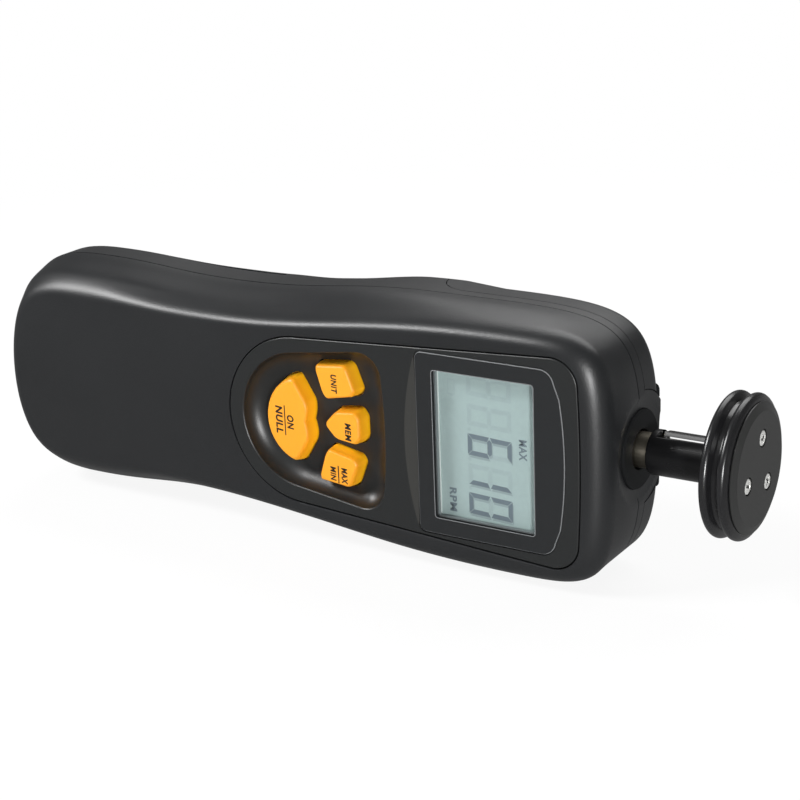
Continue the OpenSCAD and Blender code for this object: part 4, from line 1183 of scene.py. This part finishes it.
class TACHO_OT_window_lens(bpy.types.Operator):
    """Clear lens with a chamfered edge, printed dark round the display on its underside, with a painted
    highlight rim round the window
    """

    bl_idname = "tacho.window_lens"
    bl_label = "Window lens"

    def execute(self, context):
        # The grey of the chamfer also paints a highlight as a thin rim round the window
        chamfer, rim = 0.22, 0.2
        clear, dark, edge = range(3)
        window = window_outline()
        rings = stack(lens_outline, (-chamfer, 0), (0, chamfer), (0, LENS_T))
        n = len(rings[0])
        points = [p for ring in rings for p in ring]
        faces = band(n, 0) + band(n, 1)
        kinds = [edge] * n + [dark] * n
        for outer, y in ((rings[0], 0), (rings[2], LENS_T)):
            loops = [outer, flat_ring(grown(window, rim), y), flat_ring(window, y)]
            for first, second, kind in ((*loops[:2], dark), (*loops[1:], edge)):
                base = len(points)
                points += first + second
                flat = [[Vector((px, pz, 0)) for px, py, pz in loop] for loop in (first, second)]
                between = tessellate_polygon(flat)
                faces += [tuple(base + i for i in face) for face in between]
                kinds += [kind] * len(between)
            faces.append(tuple(range(len(points), len(points) + len(window))))
            points += loops[2]
            kinds.append(clear)
        piece("window_lens_finished", form(points, faces, kinds, 1e-4),
              [finish("lens"), finish("lens_print"), finish("lens_edge_and_highlight")],
              "housing", ["window_lens"], smooth=20)
        return {"FINISHED"}


INK_T = 0.03


def lettering(name, words, height, centre, y, width, ink, body, shear=0.12):
    """Raised ink lettering that reads across the housing, with its tops towards the wheel."""
    font = bpy.data.curves.new(name, "FONT")
    font.body = words
    font.size = 1.0
    font.offset = 0.035
    font.space_character = 1.12
    font.shear = shear
    font.align_x = "CENTER"
    font.fill_mode = "FRONT"
    holder = placed(name, font)
    flat = evaluated(holder)
    bpy.data.objects.remove(holder)
    xs = [v.co.x for v in flat.vertices]
    ys = [v.co.y for v in flat.vertices]
    across_share = width / (max(xs) - min(xs))
    up_share = height / (max(ys) - min(ys))
    middle = ((max(xs) + min(xs)) / 2, (max(ys) + min(ys)) / 2)
    for v in flat.vertices:
        v.co = Vector((centre[0] + (v.co.y - middle[1]) * up_share, y,
                       centre[1] - (v.co.x - middle[0]) * across_share))
    return piece(name, thick(flat, INK_T), [finish(ink)], body, smooth=20)


def thick(flat, depth):
    """A flat form in the plane of the face, made thick towards the viewer."""
    made = bmesh.new()
    made.from_mesh(flat)
    bmesh.ops.remove_doubles(made, verts=made.verts, dist=1e-5)
    if made.faces and made.faces[:][0].normal.y > 0:
        bmesh.ops.reverse_faces(made, faces=made.faces)
    lifted = bmesh.ops.extrude_face_region(made, geom=made.faces[:])
    for v in [g for g in lifted["geom"] if isinstance(g, bmesh.types.BMVert)]:
        v.co.y -= depth
    bmesh.ops.recalc_face_normals(made, faces=made.faces)
    made.to_mesh(flat)
    made.free()
    return flat


def marks(name, outlines, y, depth, ink, body):
    """Several flat outlines in the plane of the face, as one raised piece of ink."""
    points, faces = [], []
    for outline in outlines:
        faces.append(tuple(range(len(points), len(points) + len(outline))))
        points += flat_ring(outline, y)
    mesh = bpy.data.meshes.new(name)
    mesh.from_pydata(points, [], faces)
    return piece(name, thick(mesh, depth), [finish(ink)], body, smooth=20)


class TACHO_OT_display(bpy.types.Operator):
    """Display glass with its seven-segment digits, their painted shadows and small signs"""

    bl_idname = "tacho.display"
    bl_label = "Display"

    # Places of the marks along the housing are measured from the head's end
    DIGIT_X = (END_X - 43.8, END_X - 30.3)
    DIGIT_HW = 3.05
    DIGIT_Z = (17.2, 8.7, 0.2, -8.3, -16.8)
    STROKE, CLEAR, LEAN, POINT_R = 1.35, 0.12, 0.045, 0.55
    # Which of the segments a to g each place of the number shows
    SHOWN = ("", "", "acdefg", "bc", "abcdef")
    # Words: name, text, height, middle, width
    WORDS = (("display_max", "MAX", 2.4, (-26.9, 1.2), 5.9), ("display_rpm", "RPM", 2.2, (-48.8, -16.5), 6.9))
    # Bars of the battery sign: both ends along the housing, then both sides across it
    BATTERY_SIGN = (
        (-49.7, -49.45, 13.9, 18.3), (-47.65, -47.4, 13.9, 18.3), (-49.45, -47.65, 18.05, 18.3),
        (-49.45, -47.65, 13.9, 14.15), (-49.0, -48.1, 13.4, 13.9))

    def segment(self, letter, z):
        """Outline of one segment, with mitred ends; the digits lean a little."""
        (x0, x1), w, hw, clear = self.DIGIT_X, self.STROKE, self.DIGIT_HW, self.CLEAR
        middle = (x0 + x1) / 2
        bars = {
            "d": [(x0, -hw + clear), (x0, hw - clear), (x0 + w, hw - w - clear), (x0 + w, -hw + w + clear)],
            "g": [(middle - w / 2, -hw + w), (middle, -hw + w / 2), (middle + w / 2, -hw + w),
                  (middle + w / 2, hw - w), (middle, hw - w / 2), (middle - w / 2, hw - w)],
        }
        for left, side in (("e", 1), ("c", -1)):
            bars[left] = [(x0 + clear, side * hw), (middle - clear, side * hw),
                          (middle - w / 2 - clear, side * (hw - w)), (x0 + w + clear, side * (hw - w))]
        for upper, lower in ("ad", "fe", "bc"):
            bars[upper] = [(x0 + x1 - x, aside) for x, aside in bars[lower]]
        return [(x, z + aside - (x - middle) * self.LEAN) for x, aside in bars[letter]]

    def execute(self, context):
        low, high = extent("display_glass")
        soft = 0.2
        outline = box_outline(low.x, high.x, high.z, 0.4)
        glass = ring_solid([flat_ring(grown(outline, -soft), low.y), flat_ring(outline, low.y + soft),
                            flat_ring(outline, high.y)])
        dressed("display_glass", glass, "housing", "display")
        shown, ghosts = [], []
        for z, letters in zip(self.DIGIT_Z, self.SHOWN):
            for letter in "abcdefg":
                (shown if letter in letters else ghosts).append(self.segment(letter, z))
        for z in self.DIGIT_Z[1:-1]:
            ghosts.append(circle(self.DIGIT_X[0] + self.POINT_R, z - self.DIGIT_HW - 0.9, self.POINT_R, 16))
        # Painted shadows: the shown segments again, moved along and down, in a tone between the face and the
        # segments
        shadows = [[(x + 0.3, z - 0.7) for x, z in outline] for outline in shown]
        for name, outlines, depth, ink in (
                ("display_digits", shown, INK_T, "segment"), ("display_ghosts", ghosts, 0.01, "ghost"),
                ("display_shadows", shadows, 0.02, "segment_shadow")):
            marks(name, outlines, low.y, depth, ink, "housing")
        for name, words, height, (x, z), width in self.WORDS:
            lettering(name, words, height, (END_X + x, z), low.y, width, "segment", "housing", 0.0)
        sign = [rectangle(END_X + x0, END_X + x1, z0, z1) for x0, x1, z0, z1 in self.BATTERY_SIGN]
        marks("display_battery_sign", sign, low.y, 0.02, "ghost", "housing")
        return {"FINISHED"}


class TACHO_OT_keys(bpy.types.Operator):
    """Four rubber keys with flanges and plungers, and the lettering on them"""

    bl_idname = "tacho.keys"
    bl_label = "Keys"

    BODIES = {"key_on": "on_key", "key_unit": "unit_key", "key_mem": "mem_key", "key_maxmin": "maxmin_key"}
    # Lettering: key, words, height, width, and its middle from the fan's centre
    WORDS = (
        ("key_on", "ON", 2.3, 4.2, (-4.25, -1.2)), ("key_on", "NULL", 2.4, 8.3, (-8.05, -0.9)),
        ("key_unit", "UNIT", 1.9, 5.5, (11.25, 12.4)), ("key_mem", "MEM", 2.0, 5.2, (15.3, -1.2)),
        ("key_maxmin", "MAX", 2.0, 4.8, (13.4, -14.6)), ("key_maxmin", "MIN", 1.9, 4.2, (9.65, -14.4)))
    # Dividing lines: key, place along the housing, and ends from the fan's centre
    RULES = (("key_on", -6.1, 3.6, -5.4), ("key_maxmin", 11.4, -11.8, -17.1))
    RULE_HALF = 0.17

    def key_form(self, name, outline):
        """A key with a rounded top, the flange that holds it in the well, and its plunger."""
        top, end = (corner.y for corner in extent(name))
        base = extent("front_panel")[1].y + 0.3
        if name == "key_on":
            draw, centre = 0.11, (FAN_X - 0.45 * FAN_R, 0)
        else:
            draw, centre = 0.16, centre_of(outline)
        side, waist, round_depth, flange_t = 0.96, 0.97, 1.7, 1.2
        levels = [(waist, top + 2.1)]
        levels += [(side - draw * drawn, top + round_depth * rise) for drawn, rise in rounding(12)]
        levels += [(side - draw - 0.03, top)]
        rings = [flat_ring(outline, base), flat_ring(outline, base - 2.7)]
        rings += [flat_ring(shrunk(outline, share), y) for share, y in levels]
        flange = slab(grown(outline, 0.85), base, base + flange_t)
        return added(ring_solid(rings), flange, peg(*centre, 1.8, base + flange_t, end))

    def execute(self, context):
        top = extent("key_on")[0].y
        for name, outline in KEY_OUTLINES.items():
            dressed(name, self.key_form(name, outline), self.BODIES[name], "key_rubber")
        for key, words, height, width, (x, z) in self.WORDS:
            lettering(f"{key}_word_{words.lower()}", words, height, (FAN_X + x, z), top, width,
                      "legend", self.BODIES[key])
        for key, x, z0, z1 in self.RULES:
            rule = rectangle(FAN_X + x - self.RULE_HALF, FAN_X + x + self.RULE_HALF, z0, z1)
            marks(f"{key}_rule", [rule], top, INK_T, "legend", self.BODIES[key])
        return {"FINISHED"}


SLEEVE_X = extent("adapter_sleeve")[0].x
SLEEVE_R = 6.2
HUB_X = extent("wheel_hub")[0].x
CAP_X0 = extent("wheel_hub")[1].x
CAP_X = extent("wheel_cap")[1].x
WHEEL_R = 19.5
PIN_ANGLE = 160
PIN_X = SLEEVE_X + 2.9
PIN_R = 0.8
SPINDLE_R, JOURNAL_R, NOSE_R, SHOULDER_R = 2.5, 3.4, 3, 4.9


def pin_form(end, chamfer=0.0):
    """A rod out from the spindle's axis, as it stands before it is placed on the spindle."""
    profile = [(0, PIN_R), (end - chamfer, PIN_R)] + [(end, PIN_R - chamfer)] * (chamfer > 0)
    return ring_solid([
        [(u, r * math.cos(a), PIN_X + r * math.sin(a)) for a in full_turn(32)] for u, r in profile])


class TACHO_OT_nose(bpy.types.Operator):
    """Nose collar, spindle and drive pin"""

    bl_idname = "tacho.nose"
    bl_label = "Nose"

    def execute(self, context):
        x0, x1, r = COLLAR_X0, COLLAR_X1, COLLAR_R
        flange_x, flange_r, bore_r = END_X - 3.1, COLLAR_R + 2, 5.5
        collar = turned([
            (x0, bore_r + 0.1), (x0, flange_r), (flange_x, flange_r), (flange_x, r), (x1 - 0.6, r),
            (x1 - 0.25, r - 0.1), (x1, r - 0.5), (x1, bore_r + 0.5), (x1 - 0.15, bore_r + 0.15),
            (x1 - 0.5, bore_r), (x0 + 0.4, bore_r)])
        dressed("nose_collar", collar, "housing", "collar")
        (low, high), (ring_low, ring_high) = extent("spindle"), extent("retaining_ring")
        front = extent("front_inner_race")[1].x
        spindle = turned([
            (low.x, 0), (low.x, SPINDLE_R - 0.3), (low.x + 0.3, SPINDLE_R),
            (ring_low.x, SPINDLE_R), (ring_low.x, SPINDLE_R - 0.4),
            (ring_high.x, SPINDLE_R - 0.4), (ring_high.x, SPINDLE_R),
            (front, SPINDLE_R), (front, JOURNAL_R), (x0, JOURNAL_R), (x0, SHOULDER_R - 0.3),
            (x0 + 0.3, SHOULDER_R), (SLEEVE_X - 0.35, SHOULDER_R), (SLEEVE_X, SHOULDER_R - 0.35),
            (SLEEVE_X, NOSE_R), (high.x - 0.6, NOSE_R), (high.x, NOSE_R - 0.6), (high.x, 0)], closed=False)
        hole = moved(pin_form(SLEEVE_R), on_spindle(PIN_ANGLE))
        dressed("spindle", cut(spindle, hole), "shaft", "spindle_steel")
        pin = moved(pin_form(SLEEVE_R - 0.6, 0.2), on_spindle(PIN_ANGLE))
        dressed("drive_pin", pin, "shaft", "bright_steel")
        return {"FINISHED"}


class TACHO_OT_adapter_sleeve(bpy.types.Operator):
    """Sleeve of the adapter, with the pin's slot, a notch and the slit that frees its tongue"""

    bl_idname = "tacho.adapter_sleeve"
    bl_label = "Adapter sleeve"

    def execute(self, context):
        end = extent("adapter_sleeve")[1].x
        soft, bore_r, bore_end = 0.45, 3.05, SLEEVE_X + 16
        sleeve = turned([
            (SLEEVE_X, bore_r + 0.3), (SLEEVE_X, SLEEVE_R - soft),
            *[(SLEEVE_X + soft * drawn, SLEEVE_R - soft * rise) for drawn, rise in rounding(5)],
            (end, SLEEVE_R), (end, 0), (bore_end, 0), (bore_end, bore_r), (SLEEVE_X + 0.3, bore_r)])
        slot_half, notch_half, slit_w = 0.95, 0.9, 0.6
        slit_r, over = 0.64 * SLEEVE_R, SLEEVE_R + OVER
        tools = [moved(block(low, high), on_spindle(PIN_ANGLE)) for low, high in (
            ((0, -slot_half, SLEEVE_X - OVER), (over, slot_half, PIN_X + slot_half)),
            ((slit_r, -over, PIN_X - notch_half), (over, over, PIN_X + notch_half)),
            ((slit_r, -over, PIN_X), (slit_r + slit_w, over, bore_end + 2.9)))]
        dressed("adapter_sleeve", cut(sleeve, *tools), "wheel", "adapter_black")
        return {"FINISHED"}


CAP_TURN = 166.9
SCREW_CIRCLE = 8.0


def cap_turns():
    """The three places of the cap's screws."""
    return [on_spindle(CAP_TURN + 120 * k) for k in range(3)]


def screw_form(profile):
    """A round solid through (radius, place) points about a screw's own axis, not yet on the spindle."""
    return ring_solid([
        [(SCREW_CIRCLE + r * math.cos(a), r * math.sin(a), w) for a in full_turn(48)] for r, w in profile])


def screw_holes(radius, low, high):
    """Tools that cut the same bore at the three places of the cap's screws."""
    return [moved(screw_form([(radius, low), (radius, high)]), turn) for turn in cap_turns()]


class TACHO_OT_wheel(bpy.types.Operator):
    """Hub, ribbed tyre and cap of the wheel"""

    bl_idname = "tacho.wheel"
    bl_label = "Wheel"

    def execute(self, context):
        hub_r, plug_r, seat_r = WHEEL_R - 3.4, WHEEL_R - 5.2, SLEEVE_R + 0.02
        hub = turned([
            (HUB_X, seat_r), (HUB_X, 9.0), (HUB_X + 0.25, 9.35), (HUB_X + 0.9, 9.6), (HUB_X + 0.9, 13.6),
            (HUB_X + 0.25, 13.9), (HUB_X, 14.2), (HUB_X, hub_r - 0.4), (HUB_X + 0.4, hub_r), (CAP_X0, hub_r),
            (CAP_X0, plug_r + 0.1), (CAP_X0 - 2, plug_r + 0.1), (CAP_X0 - 2, 0), (HUB_X + 3, 0),
            (HUB_X + 3, seat_r)])
        hub = cut(hub, *screw_holes(0.9, HUB_X + 1.5, CAP_X0 + 1))
        dressed("wheel_hub", hub, "wheel", "adapter_black")
        dressed("tyre", self.tyre(hub_r), "wheel", "tyre_rubber", smooth=40)
        cap_r, edge, slope, shank_r, seat_depth = WHEEL_R - 2.0, 0.4, 2.2, 1.0, 0.8
        face_r = cap_r - slope
        cap = turned([
            (CAP_X0 - 1.9, 0), (CAP_X0 - 1.9, plug_r), (CAP_X0, plug_r), (CAP_X0, cap_r - 0.15),
            (CAP_X0 + 0.15, cap_r), (CAP_X0 + edge, cap_r), (CAP_X - 0.12, face_r + 0.16),
            (CAP_X - 0.03, face_r + 0.03), (CAP_X, face_r - 0.15), (CAP_X, 0)], closed=False)
        holes = screw_holes(shank_r, CAP_X0 - 3, CAP_X + 1) + screw_holes(2.45, CAP_X - seat_depth, CAP_X + 1)
        dressed("wheel_cap", cut(cap, *holes), "wheel", "cap_satin")
        return {"FINISHED"}

    def tyre(self, hub_r):
        """Two round ribs with a flat groove between them."""
        rib_r, crest, groove_r = 1.7, 1.25, hub_r + 1.45
        first, second = HUB_X + 1.8, HUB_X + 6.6
        crown = WHEEL_R - crest
        profile = [(first - 1.0, hub_r), (first - rib_r, hub_r + 1.1)]
        profile += arc((first, crown), crest, 170, 20, 20)
        profile += [(first + rib_r, groove_r + 0.25), (first + rib_r + 0.1, groove_r),
                    (second - rib_r - 0.1, groove_r), (second - rib_r, groove_r + 0.25)]
        profile += arc((second, crown), crest, 160, 14, 20)
        return turned(profile + [(second + rib_r, crown - 0.6), (second + rib_r, hub_r)])


class TACHO_OT_cap_screws(bpy.types.Operator):
    """Three cross-recessed screws that hold the cap"""

    bl_idname = "tacho.cap_screws"
    bl_label = "Cap screws"

    ARM, HALF = 1.45, 0.42

    def recess(self, spin):
        """The cross that is cut into a screw's head, turned about the screw's own axis."""
        arm, half = self.ARM, self.HALF
        corner = [(arm, half), (half, half), (half, arm)]
        left = [(-x, y) for x, y in reversed(corner)]
        cross = corner + left + [(-x, -y) for x, y in corner + left]
        tool = ring_solid([[(x * share, y * share, w) for x, y in cross]
                           for share, w in ((0.72, CAP_X - 1.1), (1.0, CAP_X - 0.02), (1.04, CAP_X + 1))])
        place = Matrix.Translation((SCREW_CIRCLE, 0, 0))
        return moved(tool, place @ Matrix.Rotation(math.radians(spin), 4, "Z"))

    def execute(self, context):
        low = extent("cap_screws")[0].x
        head_r, shank_r, seat_x, rim_x, rise = 2.05, 0.9, CAP_X - 0.8, CAP_X - 0.25, 0.3
        dome = [(shank_r, low), (shank_r, seat_x), (head_r, seat_x), (head_r, rim_x)]
        for share in (0.25, 0.45, 0.65, 0.8, 0.93):
            a = math.radians(90 * share)
            dome.append((head_r * math.cos(a), rim_x + rise * math.sin(a)))
        screws = [moved(cut(screw_form(dome), self.recess(20 + 31 * k)), turn)
                  for k, turn in enumerate(cap_turns())]
        dressed("cap_screws", added(*screws), "wheel", "bright_steel")
        return {"FINISHED"}


class TACHO_OT_inner_parts(bpy.types.Operator):
    """Finishes of the parts inside the housing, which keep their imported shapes"""

    bl_idname = "tacho.inner_parts"
    bl_label = "Inner parts"

    SLOTS = {
        "white_plastic": ("display_holder",), "strip_rubber": ("contact_strips",), "board": ("main_board",),
        "black_plastic": ("board_parts", "optical_fork", "encoder_disc", "battery_snap"),
        "cast_alloy": ("bearing_block",), "lead_red": ("battery_leads",), "battery_case": ("battery",),
        "bearing_steel": ("front_outer_race", "rear_outer_race", "front_inner_race", "rear_inner_race",
                          "front_balls", "rear_balls"),
        "cage_brass": ("front_cage", "rear_cage"),
        "bright_steel": ("key_domes", "block_screws", "housing_screws", "head_screws", "board_screws",
                         "retaining_ring"),
    }

    def execute(self, context):
        for slot, nodes in self.SLOTS.items():
            for node in nodes:
                for place in frame["nodes"][node].material_slots:
                    place.material = finish(slot)
        return {"FINISHED"}


class TACHO_OT_stage(bpy.types.Operator):
    """Floor, backdrop, lights and the camera"""

    bl_idname = "tacho.stage"
    bl_label = "Stage"

    AZIMUTH, ELEVATION, ROLL = math.radians(32.38), math.radians(18.65), math.radians(-2.21)
    TARGET = (147.9, 0.0, 11.3)
    DISTANCE = 528.5
    FOCAL_PX, FRAME_PX, SENSOR = 1946.35, 800, 36.0

    def camera(self):
        a, e, c, s = self.AZIMUTH, self.ELEVATION, math.cos(self.ROLL), math.sin(self.ROLL)
        back = Vector((math.sin(a) * math.cos(e), -math.cos(a) * math.cos(e), math.sin(e)))
        level = Vector((math.cos(a), math.sin(a), 0))
        rise = back.cross(level)
        right, up = c * level + s * rise, c * rise - s * level
        eye = ORIGIN + (Vector(self.TARGET) + back * self.DISTANCE) * MM
        lens = bpy.data.cameras.new("camera")
        lens.lens = self.FOCAL_PX / self.FRAME_PX * self.SENSOR
        lens.sensor_width = self.SENSOR
        lens.clip_start = 0.01
        view = placed("camera", lens)
        view.matrix_world = Matrix((
            (right.x, up.x, back.x, eye.x), (right.y, up.y, back.y, eye.y), (right.z, up.z, back.z, eye.z),
            (0, 0, 0, 1)))
        bpy.context.scene.camera = view

    def lamp(self, name, place, aim, size, power):
        light = bpy.data.lights.new(name, "AREA")
        light.shape = "RECTANGLE"
        light.size, light.size_y = size
        light.energy = power
        holder = placed(name, light)
        holder.location = place
        holder.rotation_euler = (Vector(aim) - Vector(place)).to_track_quat("-Z", "Y").to_euler()

    def floor(self):
        """A white floor that the camera sees as plain white further out, and mirrors as a dim grey."""
        made = Finish("floor_white")
        white, half, near, fade = (1, 1, 1, 1), 3.0, 0.2, 0.3
        plain = made.principled(
            Base_Color=made.blend(made.noise(3.0), (0.90, 0.90, 0.90), (0.92, 0.92, 0.92)),
            Roughness=0.9, Specular_IOR_Level=0.0)
        bright = made.node("ShaderNodeEmission", {}, {"Color": white, "Strength": 1.0})
        dim = made.node("ShaderNodeEmission", {}, {"Color": white, "Strength": 0.32})
        seen = made.node("ShaderNodeLightPath", {}, {}, "Is Camera Ray")
        in_mirror = made.node("ShaderNodeLightPath", {}, {}, "Is Glossy Ray")
        away = made.node("ShaderNodeVectorMath", {"operation": "LENGTH"}, {0: made.place()}, "Value")
        share = seen * made.between(((away - near) / fade).clamped(), 0.9, 1.0)
        room = made.node("ShaderNodeMixShader", {}, {0: in_mirror, 1: plain, 2: dim})
        shader = made.node("ShaderNodeMixShader", {}, {0: share, 1: room, 2: bright})
        mesh = bpy.data.meshes.new("floor")
        corners = [(x, y, 0) for x, y in rectangle(-half, half, -half, half)[::-1]]
        mesh.from_pydata(corners, [], [(0, 1, 2, 3)])
        mesh.materials.append(made.done(shader))
        placed("floor", mesh)

    def world(self):
        """A soft even room, which the camera sees as plain white."""
        world = bpy.context.scene.world or bpy.data.worlds.new("room")
        bpy.context.scene.world = world
        world.use_nodes = True
        tree = world.node_tree
        tree.nodes.clear()
        path = tree.nodes.new("ShaderNodeLightPath")
        choice = tree.nodes.new("ShaderNodeMixShader")
        out = tree.nodes.new("ShaderNodeOutputWorld")
        tree.links.new(path.outputs["Is Camera Ray"], choice.inputs[0])
        for place, strength in ((1, 0.14), (2, 1.0)):
            room = tree.nodes.new("ShaderNodeBackground")
            room.inputs["Color"].default_value = (1, 1, 1, 1)
            room.inputs["Strength"].default_value = strength
            tree.links.new(room.outputs[0], choice.inputs[place])
        tree.links.new(choice.outputs[0], out.inputs[0])

    def execute(self, context):
        self.camera()
        self.floor()
        self.world()
        middle = (0.03, 0.0, 0.037)
        self.lamp("key_light", (0.80, -0.91, 0.13), middle, (0.14, 0.3), 14)
        self.lamp("left_light", (-0.89, -0.67, 1.0), middle, (0.5, 0.4), 23)
        self.lamp("top_light", (0.0, 0.95, 1.25), middle, (1.6, 1.0), 18)
        bpy.context.scene.view_settings.view_transform = "Standard"
        return {"FINISHED"}


PIECES = (
    TACHO_OT_stage, TACHO_OT_front_shell, TACHO_OT_rear_shell, TACHO_OT_head_cover, TACHO_OT_battery_door,
    TACHO_OT_front_panel, TACHO_OT_window_lens, TACHO_OT_display, TACHO_OT_keys, TACHO_OT_nose,
    TACHO_OT_adapter_sleeve, TACHO_OT_wheel, TACHO_OT_cap_screws, TACHO_OT_inner_parts)


class TACHO_PT_pieces(bpy.types.Panel):
    """Lists the sizes, the colours and the pieces"""

    bl_idname = "TACHO_PT_pieces"
    bl_label = "Contact tachometer"
    bl_space_type = "VIEW_3D"
    bl_region_type = "UI"
    bl_category = "Tachometer"

    def draw(self, context):
        for group in (context.scene.tacho_sizes, context.scene.tacho_colours):
            box = self.layout.box()
            for name in group.__annotations__:
                box.prop(group, name)
        column = self.layout.column(align=True)
        for made in PIECES:
            column.operator(made.bl_idname)


CLASSES = (TachoSizes, TachoColours, *PIECES, TACHO_PT_pieces)


def register():
    for made in CLASSES:
        bpy.utils.register_class(made)
    bpy.types.Scene.tacho_sizes = PointerProperty(type=TachoSizes)
    bpy.types.Scene.tacho_colours = PointerProperty(type=TachoColours)


def unregister():
    del bpy.types.Scene.tacho_colours
    del bpy.types.Scene.tacho_sizes
    for made in reversed(CLASSES):
        bpy.utils.unregister_class(made)


def main():
    register()
    for made in PIECES:
        group, name = made.bl_idname.split(".")
        getattr(getattr(bpy.ops, group), name)()


if __name__ == "__main__":
    main()
